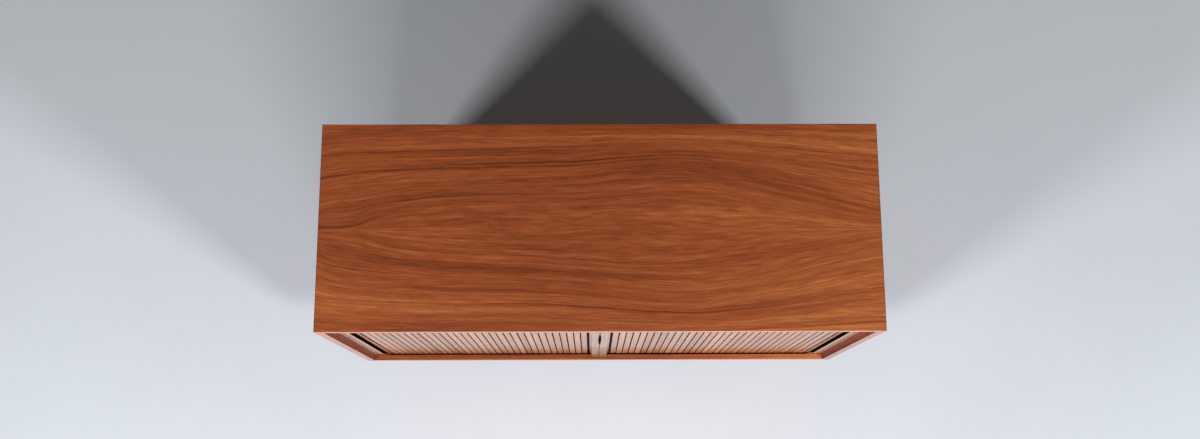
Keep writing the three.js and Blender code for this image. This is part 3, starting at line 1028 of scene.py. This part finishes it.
@dataclass
class CoveStiles:
    """The hollow stiles at the two ends of the opening."""

    width: float = 24.0
    depth: float = 22.0
    land: float = 0.8
    hollow: float = 15.5
    reach: float = 12.0
    lip: float = 1.2
    arris: float = 0.3
    joint: float = 0.3
    half_across: float = 590.6
    front: float = -228.6
    floor: float = 222.2
    ceiling: float = 844.6
    steps: int = 40

    def section(self) -> np.ndarray:
        """The section: inward distance and depth.

        The hollow is a quarter ellipse, inward = reach - (reach - land) cos a and
        deep = hollow sin a, for a from 0 to a right angle. From there a flat band goes in to the
        full width, and the back slopes away from its thin edge.

        Returns:
            The section's points, n by 2.
        """
        angle = np.linspace(0.0, QUARTER, self.steps)
        inward = self.reach - (self.reach - self.land) * np.cos(angle)
        curve = np.stack([inward, self.hollow * np.sin(angle)], axis=1)
        edge = np.array(
            [
                [self.reach + self.arris, self.hollow],
                [self.width - 2 * self.arris, self.hollow],
                [self.width - self.arris, self.hollow],
                [self.width, self.hollow + self.arris],
                [self.width, self.hollow + self.lip],
                [self.reach, self.depth],
                [0.0, self.depth],
            ]
        )
        return np.concatenate([[[0.0, 0.0]], curve, edge])

    def build(self, shop: Workshop) -> None:
        """Stands one stile at each end, from the case's floor to its ceiling.

        Args:
            shop: Where the stiles are put.
        """
        inward, deep = self.section().T
        heights = np.array([self.floor + self.joint, self.ceiling - self.joint])
        for name, side in SIDES.items():
            x = side * (self.half_across - self.joint - inward)
            plan = np.stack([x, self.front + deep], axis=1)
            mesh = lofted(f"{name}_cove_stile_hollowed", upright(plan, heights))
            # painted shade: tone -0.28 darkens the stile to the shaded brown of its hollow
            timber = Walnut(
                f"{name} stile timber",
                grain=Grain.ALONG_Z,
                streaks=0.5,
                tone=-0.28,
                hollow=True,
            ).material()
            shop.put(mesh, "case", Slot.SOLID, timber, f"{name}_cove_stile")


@dataclass
class TambourDoor:
    """One door: slats glued to canvas, and a lead strip with a raised bar and a finger notch."""

    name: str
    side: float
    seed: int

    slat_width: float = 14.4
    slat_space: float = 1.6
    slat_thickness: float = 6.0
    slat_round: float = 1.2
    slat_crown: float = 0.12
    slat_rings: int = 5
    round_points: int = 6
    face_points: int = 4
    face_share: float = 0.6
    width_error: tuple[float, float] = (-0.018, 0.004)
    shift_error: float = 0.14
    tilt_error: float = 0.006
    proud_error: float = 0.12
    bow_error: float = 0.1
    tone_error: float = 0.1
    grain_shift: float = 40.0
    tone: float = 0.09

    canvas: float = 1.0
    canvas_clearance: float = 0.03
    canvas_line: float = -204.9
    bend_radius: float = 30.0
    bend_x: float = 541.0
    bend_y: float = -174.9
    first_slat: float = 29.2
    front_slats: int = 32
    tail_slats: int = 5
    foot: float = 215.5
    head: float = 849.6
    travel: float = 513.0

    lead_inner: float = 0.5
    lead_width: float = 19.0
    lead_shoulder: float = 5.0
    lead_gap: float = 0.3
    lead_front: float = -221.2
    lead_round: float = 1.7
    strip_round: float = 0.6
    shoulder_round: float = 1.2
    bar_back_round: float = 0.2
    bar_sink: float = 0.3
    bar_foot: float = 223.2
    bar_head: float = 843.6
    bar_tone: float = 0.05
    strip_tone: float = -0.03
    bar_rises: tuple[float, ...] = (0.0, 0.5, 1.5)
    bar_draws: tuple[float, ...] = (1.2, 0.35, 0.0)
    notch_middle: float = 627.6
    notch_length: float = 226.0
    notch_depth: float = 2.8
    notch_fade: float = 6.0
    notch_rings: int = 33

    @property
    def pitch(self) -> float:
        """From one slat to the next."""
        return self.slat_width + self.slat_space

    @property
    def strip_end(self) -> float:
        """Where the lead strip's edge slat ends."""
        return self.lead_inner + self.lead_width + self.lead_shoulder

    @property
    def curtain_start(self) -> float:
        """Where the canvas begins, next to the lead strip."""
        return self.strip_end + self.lead_gap

    @property
    def curtain_end(self) -> float:
        """Where the front run ends and the tail begins."""
        return self.first_slat + self.front_slats * self.pitch

    def slat_section(self) -> np.ndarray:
        """One slat's section about its own middle: across, and out from the canvas.

        The face stands at thickness + crown (1 - u^2), less r - sqrt(r^2 - e^2) within r of
        each edge, where u runs from -1 to 1 over the width and e is how far a point is into
        the rounding.

        Returns:
            The section's points, n by 2.
        """
        half, r = self.slat_width / 2, self.slat_round
        rounding = half - r + r * np.sin(np.linspace(0.0, QUARTER, self.round_points))
        middle = np.linspace(-self.face_share, self.face_share, self.face_points) * half
        across = np.concatenate([-rounding[::-1], middle, rounding])
        into = np.clip(np.abs(across) - (half - r), 0.0, r)
        out = self.slat_thickness + self.slat_crown * (1 - (across / half) ** 2)
        out = out - (r - np.sqrt(np.maximum(r**2 - into**2, 0.0)))
        face = np.stack([across, out], axis=1)
        return np.concatenate([[[-half, 0.0]], face, [[half, 0.0]]])

    def slat_flank(self) -> np.ndarray:
        """Finds how far each point of a slat's section lies round towards the canvas.

        Returns:
            0 on the face, rising to 1 at the end of its rounding, and 1 at the canvas.
        """
        across, out = self.slat_section().T
        into = np.maximum(np.abs(across) - (self.slat_width / 2 - self.slat_round), 0.0)
        return np.where(out > 0, into / self.slat_round, 1.0)

    def on_track(self, length: np.ndarray) -> tuple[np.ndarray, np.ndarray, np.ndarray]:
        """Where the canvas is after a length past the start of the front bend.

        Up to a quarter turn it follows the arc of the bend, and then runs straight back. Before
        the bend it lies straight across the front.

        Args:
            length: Lengths along the canvas, negative before the bend.

        Returns:
            X, Y and the turn in radians.
        """
        arc = QUARTER * self.bend_radius
        turn = np.clip(length, 0.0, arc) / self.bend_radius
        x = self.bend_x + np.minimum(length, 0.0) + self.bend_radius * np.sin(turn)
        y = self.bend_y - self.bend_radius * np.cos(turn) + np.maximum(length - arc, 0.0)
        return x, y, turn

    def slats(self, first: int, count: int, chance: np.random.Generator) -> np.ndarray:
        """Places slats along the canvas, each a little out of true as real ones are.

        Args:
            first: Number of the first slat from the lead strip.
            count: How many slats.
            chance: Where the small errors come from.

        Returns:
            Shells of rings up the height: count by rings by points by 3.
        """
        middle = self.first_slat + self.slat_width / 2 + (first + np.arange(count)) * self.pitch
        x, y, turn = (line[:, None, None] for line in self.on_track(middle - self.bend_x))
        across, out = self.slat_section().T
        each = (count, 1, 1)
        width = 1 + chance.uniform(*self.width_error, each)
        shift = chance.uniform(-self.shift_error, self.shift_error, each)
        tilt = chance.uniform(-self.tilt_error, self.tilt_error, each)
        proud = chance.uniform(-self.proud_error, self.proud_error, each)
        share = np.linspace(0.0, 1.0, self.slat_rings)[None, :, None]
        bow = chance.uniform(-self.bow_error, self.bow_error, each) * np.sin(math.pi * share)
        along = across * width + shift + bow
        outwards = self.canvas / 2 + np.where(out > 0, out + proud + tilt * across, out)
        px = x + along * np.cos(turn) + outwards * np.sin(turn)
        py = y + along * np.sin(turn) - outwards * np.cos(turn)
        pz = np.broadcast_to(self.foot + share * (self.head - self.foot), px.shape)
        return np.stack([self.side * px, py, pz], axis=-1)

    def cloth(self, start: float, end: float, steps: int = 60) -> np.ndarray:
        """The canvas between two lengths along the track, as one closed shell.

        Its section is the track's line moved out and in by half the canvas's thickness.

        Args:
            start: First length, from the start of the bend.
            end: Last length.
            steps: Points along it.

        Returns:
            One shell of rings up the height.
        """
        x, y, turn = self.on_track(np.linspace(start, end, steps))
        half = self.canvas / 2 - self.canvas_clearance
        outer = np.stack([x + half * np.sin(turn), y - half * np.cos(turn)], axis=1)
        inner = np.stack([x - half * np.sin(turn), y + half * np.cos(turn)], axis=1)
        plan = np.concatenate([outer, inner[::-1]])
        return self.raised(plan, np.array([self.foot, self.head]))

    def raised(self, plan: np.ndarray, heights: np.ndarray) -> np.ndarray:
        """An upright shell mirrored to this door's side."""
        return upright(plan * [self.side, 1.0], heights)

    def notched(
        self, corners: list[list[float]], radii: list[float], heights: np.ndarray
    ) -> np.ndarray:
        """One upright member whose meeting edge is hollowed by the finger notch.

        At a height z the points near the meeting edge move in by depth (1 - v^2), where v runs
        from -1 to 1 over the notch. The move fades out over the member's width.

        Args:
            corners: The plan's corners.
            radii: How far each corner is rounded.
            heights: The heights of the rings.

        Returns:
            One shell of rings.
        """
        plan = eased_outline(np.array(corners), np.array(radii))
        shell = self.raised(plan, heights)
        v = (heights - self.notch_middle) / (self.notch_length / 2)
        hollow = self.notch_depth * np.maximum(1 - v**2, 0.0)
        fade = np.clip(1 - (plan[:, 0] - self.lead_inner) / self.notch_fade, 0.0, 1.0)
        shell[0, :, :, 0] += self.side * hollow[:, None] * fade[None, :]
        return shell

    def edge_slat(self, notch: np.ndarray) -> np.ndarray:
        """The lead strip's part that runs in the track: the last slat, with a shoulder.

        Args:
            notch: The heights of the rings along the finger notch.

        Returns:
            One shell of rings.
        """
        inner, wide = self.lead_inner, self.strip_end
        front = self.canvas_line - self.canvas / 2 - self.slat_thickness
        back = self.canvas_line + self.canvas / 2
        corners = [[inner, back], [inner, front], [wide, front], [wide, back]]
        radii = [self.strip_round, self.strip_round, self.shoulder_round, self.strip_round]
        return self.notched(corners, radii, np.concatenate([[self.foot], notch, [self.head]]))

    def lead_bar(self, notch: np.ndarray) -> np.ndarray:
        """The raised bar glued to the edge slat.

        The first and last rings are drawn in from its front, which rounds its end arrises.

        Args:
            notch: The heights of the rings along the finger notch.

        Returns:
            One shell of rings.
        """
        inner, outer, face = self.lead_inner, self.lead_inner + self.lead_width, self.lead_front
        back = self.canvas_line - self.canvas / 2 - self.slat_thickness + self.bar_sink
        corners = [[inner, back], [inner, face], [outer, face], [outer, back]]
        radii = [self.bar_back_round, self.lead_round, self.lead_round, self.bar_back_round]
        rises = np.array(self.bar_rises)
        ends = self.bar_foot + rises, self.bar_head - rises[::-1]
        bar = self.notched(corners, radii, np.concatenate([ends[0], notch, ends[1]]))
        level = bar[0, :, :, 1]
        front = level.min()
        for ring, draw in enumerate(self.bar_draws):
            for end in (ring, -1 - ring):
                level[end] = np.maximum(level[end], front + draw)
        return bar

    def lead_strip(self, shop: Workshop) -> None:
        """Makes the lead strip: the edge slat in the track and the raised bar glued to it.

        Args:
            shop: Where they are put.
        """
        along = np.linspace(-1.0, 1.0, self.notch_rings)
        notch = self.notch_middle + self.notch_length / 2 * along
        parts = {
            "edge_slat": (self.edge_slat(notch), self.strip_tone),
            "lead_bar": (self.lead_bar(notch), self.bar_tone),
        }
        for label, (shell, tone) in parts.items():
            mesh = lofted(f"{self.name}_{label}", shell)
            timber = Walnut(
                f"{self.name} {label} timber",
                grain=Grain.ALONG_Z,
                tone=tone,
                streaks=0.6,
                roughness=0.18,
                tones=SLAT_WOOD,
            ).material()
            node = f"{self.name}_lead_strip"
            shop.put(mesh, f"{self.name}_door", Slot.SOLID, timber, node)

    def build(self, shop: Workshop) -> None:
        """Makes the slats, the canvas and the lead strip.

        Args:
            shop: Where they are put.
        """
        chance = np.random.default_rng(self.seed)
        walnut = Walnut(
            f"{self.name} slat walnut",
            grain=Grain.ALONG_Z,
            slats=True,
            streaks=0.55,
            tone=self.tone,
            roughness=0.22,
            tones=SLAT_WOOD,
        ).material()
        duck = CottonCanvas(f"{self.name} canvas").material()
        start, bend = self.curtain_start - self.bend_x, self.curtain_end - self.bend_x
        tail_end = bend + self.tail_slats * self.pitch - self.slat_space
        runs = {
            "tambour": (0, self.front_slats, start, bend),
            "tambour_tail": (self.front_slats, self.tail_slats, bend, tail_end),
        }
        slats = {}
        for run, (first, count, _, _) in runs.items():
            marks = {
                "slat_tone": chance.normal(0.0, self.tone_error, (count, 1, 1)),
                "slat_shift": chance.uniform(0.0, self.grain_shift, (count, 1, 1)),
                "slat_flank": self.slat_flank(),
            }
            node = f"{self.name}_{run}"
            mesh = lofted(f"{node}_slats", self.slats(first, count, chance), marks)
            slats[run] = shop.put(mesh, "case", Slot.TAMBOUR, walnut, node)
        cloths = {}
        for run, (_, _, begin, end) in runs.items():
            mesh = lofted(f"{self.name}_{run}_canvas", self.cloth(begin, end))
            cloths[run] = shop.put(mesh, "case", Slot.TAMBOUR, duck)
        self.lead_strip(shop)
        for piece in (slats["tambour"], cloths["tambour"]):
            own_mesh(piece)


@dataclass
class Interior:
    """The pale boards inside: divider, false walls, bent corners, false back, shelves on pins."""

    ease: float = 0.5
    divider_lipping: float = -0.1966
    wall_lipping: float = -0.1709
    shelf_lipping: float = -0.1589
    pin_radius: float = 2.5
    pin_dome: float = 1.5
    pin_sides: int = 24
    dome_share: float = 0.94
    dome_points: int = 6

    def boards(self, shop: Workshop) -> None:
        """Eases each board, and lips the front edges that show when the doors are open.

        Args:
            shop: Where the boards are put.
        """
        ways = {
            "centre_divider": (Grain.ALONG_Z, self.divider_lipping),
            "false_back": (Grain.ALONG_X, NO_LIPPING),
        }
        for side in SIDES:
            ways[f"{side}_false_wall"] = (Grain.ALONG_Z, self.wall_lipping)
            ways[f"{side}_bent_corner"] = (Grain.ALONG_Z, NO_LIPPING)
            ways[f"{side}_shelf"] = (Grain.ALONG_X, self.shelf_lipping)
        for node, (grain, lipping) in ways.items():
            veneer = PaleVeneer(f"{node} veneer", grain, lipping)
            shop.ease(node, Slot.PLY, veneer.material(), self.ease)

    def pins(self, shop: Workshop) -> None:
        """Replaces each shelf pin by one with domed ends.

        The radius follows sqrt(1 - w^2) within a dome's length of each end, where w runs nearly
        to 1 at the tip, so the ends are round.

        Args:
            shop: Where the pins are put.
        """
        zinc = ZincPlate("pin zinc").material()
        w = np.sin(np.linspace(0.0, QUARTER * self.dome_share, self.dome_points))
        dome = self.pin_radius * np.sqrt(1 - w**2)
        radii = np.concatenate([dome[::-1], dome])
        for node in sorted(name for name in shop.nodes if "_pin_" in name):
            low, high = shop.box(node)
            rise = self.pin_dome * (1 - w)
            places = np.concatenate([low[0] + rise[::-1], high[0] - rise])
            shell = turned_shape(np.stack([radii, places], axis=1), self.pin_sides)
            _, middle_y, middle_z = (low + high) / 2
            shell = shell[..., [2, 0, 1]] + [0.0, middle_y, middle_z]
            shop.put(lofted(f"{node}_turned", shell), "case", Slot.STEEL, zinc, node)

    def build(self, shop: Workshop) -> None:
        """Makes the boards and the pins."""
        self.boards(shop)
        self.pins(shop)


@dataclass(frozen=True)
class PanHeadScrew:
    """A pan-head screw with a cross recess, along Z, with its head's underside at zero."""

    shank: float
    length: float
    head: float
    thickness: float
    tip: float = 0.25
    point: float = 0.8
    point_share: float = 0.6
    taper: float = 2.0
    under_share: float = 0.93
    rim_share: float = 0.25
    crown_share: float = 0.45
    recess_share: float = 0.6
    slot_share: float = 0.32
    reach_share: float = 0.62
    wall_slopes: tuple[float, float] = (3.0, 6.0)
    ring_shares: tuple[float, ...] = (
        0.97, 0.9, 0.8, 0.7, 0.62, 0.54, 0.46, 0.38, 0.3, 0.22, 0.14, 0.05
    )
    sides: int = 48

    def shell(self) -> np.ndarray:
        """Works out the screw as rings from the tip to the middle of the head.

        The head's top is thickness (1 - crown (r / head)^2). The recess takes its share of the
        thickness out where the smaller of |x| and |y| is under the slot's half width and r is
        under its reach, with a smooth wall.

        Returns:
            One shell of rings.
        """
        body = np.array(
            [
                [self.tip, self.length],
                [self.shank * self.point_share, self.length - self.point],
                [self.shank, self.length - self.taper],
                [self.shank, 0.0],
                [self.head * self.under_share, 0.0],
                [self.head, -self.thickness * self.rim_share],
            ]
        )
        rings = turned_shape(body, self.sides)[0]
        radius = self.head * np.array(self.ring_shares)
        crown = self.thickness * (1 - self.crown_share * (radius / self.head) ** 2)
        top = turned_shape(np.stack([radius, -crown], axis=1), self.sides)[0]
        slot = self.slot_share * self.head / 2
        narrow = np.minimum(np.abs(top[..., 0]), np.abs(top[..., 1])) / slot
        inside = 1 - radius[:, None] / (self.reach_share * self.head)
        across, along = self.wall_slopes
        recess = np.clip(across * (1 - narrow), 0.0, 1.0) * np.clip(along * inside, 0.0, 1.0)
        top[..., 2] += self.recess_share * self.thickness * recess
        return np.concatenate([rings, top])[None]

    def drive(self, shop: Workshop, node: str, zinc: Material, *, along_y: bool) -> None:
        """Replaces a screw's solid by a detailed one in the same place.

        Args:
            shop: Where it is put.
            node: The solid.
            zinc: Its finish.
            along_y: True where the shank points to the front, false where it points up.
        """
        low, high = shop.box(node)
        middle = (low + high) / 2
        shell = self.shell()
        if along_y:
            shell = np.stack([shell[..., 0], -shell[..., 2], shell[..., 1]], axis=-1)
            shell = shell + [middle[0], high[1] - self.thickness, middle[2]]
        else:
            shell = shell + [middle[0], middle[1], low[2] + self.thickness]
        shop.put(lofted(f"{node}_turned", shell), "case", Slot.STEEL, zinc, node)


@dataclass
class BackPanel:
    """The thin back panel in its rabbet, and its screws."""

    ease: float = 0.4
    screw: PanHeadScrew = PanHeadScrew(shank=1.5, length=16.0, head=3.2, thickness=1.5)

    def build(self, shop: Workshop) -> None:
        """Eases the panel and drives its screws.

        Args:
            shop: Where they are put.
        """
        shop.ease("back_panel", Slot.PLY, PaleVeneer("back panel veneer").material(), self.ease)
        zinc = ZincPlate("back screw zinc").material()
        for node in sorted(name for name in shop.nodes if name.startswith("back_screw_")):
            self.screw.drive(shop, node, zinc, along_y=True)


@dataclass
class Base:
    """The base: rails between four tapered legs on glides, with screwed corner blocks."""

    rail_ease: float = 1.6
    block_ease: float = 1.0
    leg_top: float = 42.0
    leg_foot: float = 26.0
    leg_round: float = 3.2
    leg_rings: tuple[float, ...] = (60.0, 110.0)
    outer_x: float = 549.6
    outer_y: float = 188.6
    height: float = 203.2
    straight: float = 66.0
    bend_blend: float = 1.0
    foot_inset: float = 1.0
    foot_rise: float = 1.2
    glide_height: float = 5.0
    glide_radius: float = 9.0
    glide_round: float = 2.0
    glide_arris: float = 0.6
    glide_middle: float = 0.3
    glide_sides: int = 40
    glide_points: int = 7
    screw: PanHeadScrew = PanHeadScrew(shank=2.2, length=30.7, head=4.5, thickness=3.0)

    def leg(self, side: float, end: float) -> np.ndarray:
        """One leg: a rounded square whose two outer faces are plumb and inner faces taper.

        Its side at height z is foot + (top - foot) s(z), where s rises evenly to the start of
        the straight part. The lowest ring is drawn in by the foot's chamfer.

        Args:
            side: -1 for the left, 1 for the right.
            end: -1 for the front, 1 for the back.

        Returns:
            One shell of rings.
        """
        low, bend = self.glide_height, self.height - self.straight
        middle = [*self.leg_rings, bend, bend + self.bend_blend]
        heights = np.array([low, low + self.foot_rise, *middle, self.height])
        share = np.clip((heights - low) / (bend - low), 0.0, 1.0)
        size = self.leg_foot + (self.leg_top - self.leg_foot) * share
        inset = np.where(heights == low, self.foot_inset, 0.0)
        unit = np.array([[0.0, 0.0], [1.0, 0.0], [1.0, 1.0], [0.0, 1.0]])
        rings = []
        for width, draw, height in zip(size, inset, heights):
            plan = eased_outline(draw + unit * (width - 2 * draw), np.full(4, self.leg_round))
            x = side * (self.outer_x - plan[:, 0])
            y = end * (self.outer_y - plan[:, 1])
            rings.append(np.stack([x, y, np.full_like(x, height)], axis=1))
        return np.stack(rings)[None]

    def glide(self, side: float, end: float) -> np.ndarray:
        """One glide: a disc whose lower edge is rounded, under the middle of the foot.

        Args:
            side: -1 for the left, 1 for the right.
            end: -1 for the front, 1 for the back.

        Returns:
            One shell of rings.
        """
        angle = np.linspace(0.0, QUARTER, self.glide_points)
        radius = self.glide_radius - self.glide_round * (1 - np.sin(angle))
        height = self.glide_round * (1 - np.cos(angle))
        top = np.array(
            [
                [self.glide_radius, self.glide_height - self.glide_arris],
                [self.glide_radius - self.glide_arris, self.glide_height],
            ]
        )
        bottom = np.array([[self.glide_middle, 0.0]])
        profile = np.concatenate([bottom, np.stack([radius, height], axis=1), top])
        x = side * (self.outer_x - self.leg_foot / 2)
        y = end * (self.outer_y - self.leg_foot / 2)
        return turned_shape(profile, self.glide_sides) + [x, y, 0.0]

    def build(self, shop: Workshop) -> None:
        """Makes the rails, legs, glides, blocks and screws.

        Args:
            shop: Where they are put.
        """
        ways = dict.fromkeys(ENDS, Grain.ALONG_X) | dict.fromkeys(SIDES, Grain.ALONG_Y)
        for way, grain in ways.items():
            timber = Walnut(f"{way}_rail timber", grain=grain, streaks=0.8, tone=-0.05)
            shop.ease(f"{way}_rail", Slot.SOLID, timber.material(), self.rail_ease)
        zinc = ZincPlate("base screw zinc").material()
        nylon = MouldedNylon("glide nylon").material()
        block = PaleVeneer("corner block timber").material()
        for side_name, side in SIDES.items():
            for end_name, end in ENDS.items():
                name = f"{end_name}_{side_name}"
                leg = lofted(f"{name}_leg_shaped", self.leg(side, end))
                timber = Walnut(f"{name} leg timber", grain=Grain.ALONG_Z, streaks=0.8, tone=-0.05)
                shop.put(leg, "case", Slot.SOLID, timber.material(), f"{name}_leg")
                glide = lofted(f"{name}_glide_turned", self.glide(side, end))
                shop.put(glide, "case", Slot.NYLON, nylon, f"{name}_glide")
                shop.ease(f"{name}_block", Slot.PLY, block, self.block_ease)
                self.screw.drive(shop, f"{name}_base_screw", zinc, along_y=False)


@dataclass(frozen=True)
class Lamp:
    """One soft square lamp that faces the middle of the cabinet."""

    name: str
    place: Triple
    power: float
    width: float
    aim: Triple = (0.0, 0.0, 0.4)

    def hang(self) -> None:
        """Puts the lamp into the scene and turns it to what it lights."""
        light = bpy.data.lights.new(self.name, "AREA")
        light.energy = self.power
        light.size = self.width
        lamp = added(light)
        lamp.location = self.place
        x, y, z = np.array(self.aim) - np.array(self.place)
        lamp.rotation_euler = (math.atan2(math.hypot(x, y), -z), 0.0, math.atan2(-x, y))


@dataclass
class Studio:
    """The pale floor, the soft lights and the camera at the photograph's angle."""

    camera_place: Triple = (-0.0199, -0.5293, 3.4720)
    camera_turn: Triple = (11.774, -0.389, -0.194)
    lens: float = 36.94
    sensor: float = 36.0
    far: float = 12.0
    sky: float = 0.048
    lamps: tuple[Lamp, ...] = (
        Lamp("left lamp", (-2.7, -2.4, 2.9), 97.0, 0.75),
        Lamp("right lamp", (3.4, -3.0, 3.2), 148.0, 0.75),
        Lamp("front lamp", (0.2, -4.2, 3.6), 132.0, 2.4),
        Lamp("back lamp", (0.0, 4.5, 1.1), 0.3, 2.0),
    )

    def floor(self) -> None:
        """Lays the floor, which is no piece of the cabinet."""
        mesh = bpy.data.meshes.new("floor")
        ways = np.array([[-1.0, -1.0, 0.0], [1.0, -1.0, 0.0], [1.0, 1.0, 0.0], [-1.0, 1.0, 0.0]])
        mesh.from_pydata(self.far * ways, [], [(0, 1, 2, 3)])
        mesh.materials.append(PaleFloor("studio floor").material())
        added(mesh)

    def light(self) -> None:
        """Sets a faint even sky and hangs the lamps."""
        world = bpy.data.worlds.new("studio")
        world.use_nodes = True
        backdrop = world.node_tree.nodes["Background"]
        backdrop.inputs["Color"].default_value = (1.0, 1.0, 1.0, 1.0)
        backdrop.inputs["Strength"].default_value = self.sky
        bpy.context.scene.world = world
        for lamp in self.lamps:
            lamp.hang()

    def camera(self) -> None:
        """Stands the camera where the photograph was taken from."""
        view = bpy.data.cameras.new("photograph")
        view.lens = self.lens
        view.sensor_width = self.sensor
        view.sensor_fit = "HORIZONTAL"
        camera = added(view)
        camera.location = self.camera_place
        camera.rotation_euler = tuple(math.radians(angle) for angle in self.camera_turn)
        bpy.context.scene.camera = camera
        bpy.context.scene.view_settings.view_transform = "Standard"

    def build(self) -> None:
        """Makes the floor, the light and the camera."""
        self.floor()
        self.light()
        self.camera()


def main() -> None:
    """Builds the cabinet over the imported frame."""
    logging.basicConfig(level=logging.INFO, format="%(name)s: %(message)s")
    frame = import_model()
    shop = Workshop(frame["nodes"])
    Studio().build()
    CaseShell().build(shop)
    CoveStiles().build(shop)
    for seed, (name, side) in enumerate(SIDES.items(), start=FIRST_SEED):
        TambourDoor(name, side, seed).build(shop)
    Interior().build(shop)
    BackPanel().build(shop)
    Base().build(shop)
    left = sorted(set(shop.nodes) - shop.dressed)
    log.info("%d pieces made, solids without a piece: %s", shop.made, left)


if __name__ == "__main__":
    main()
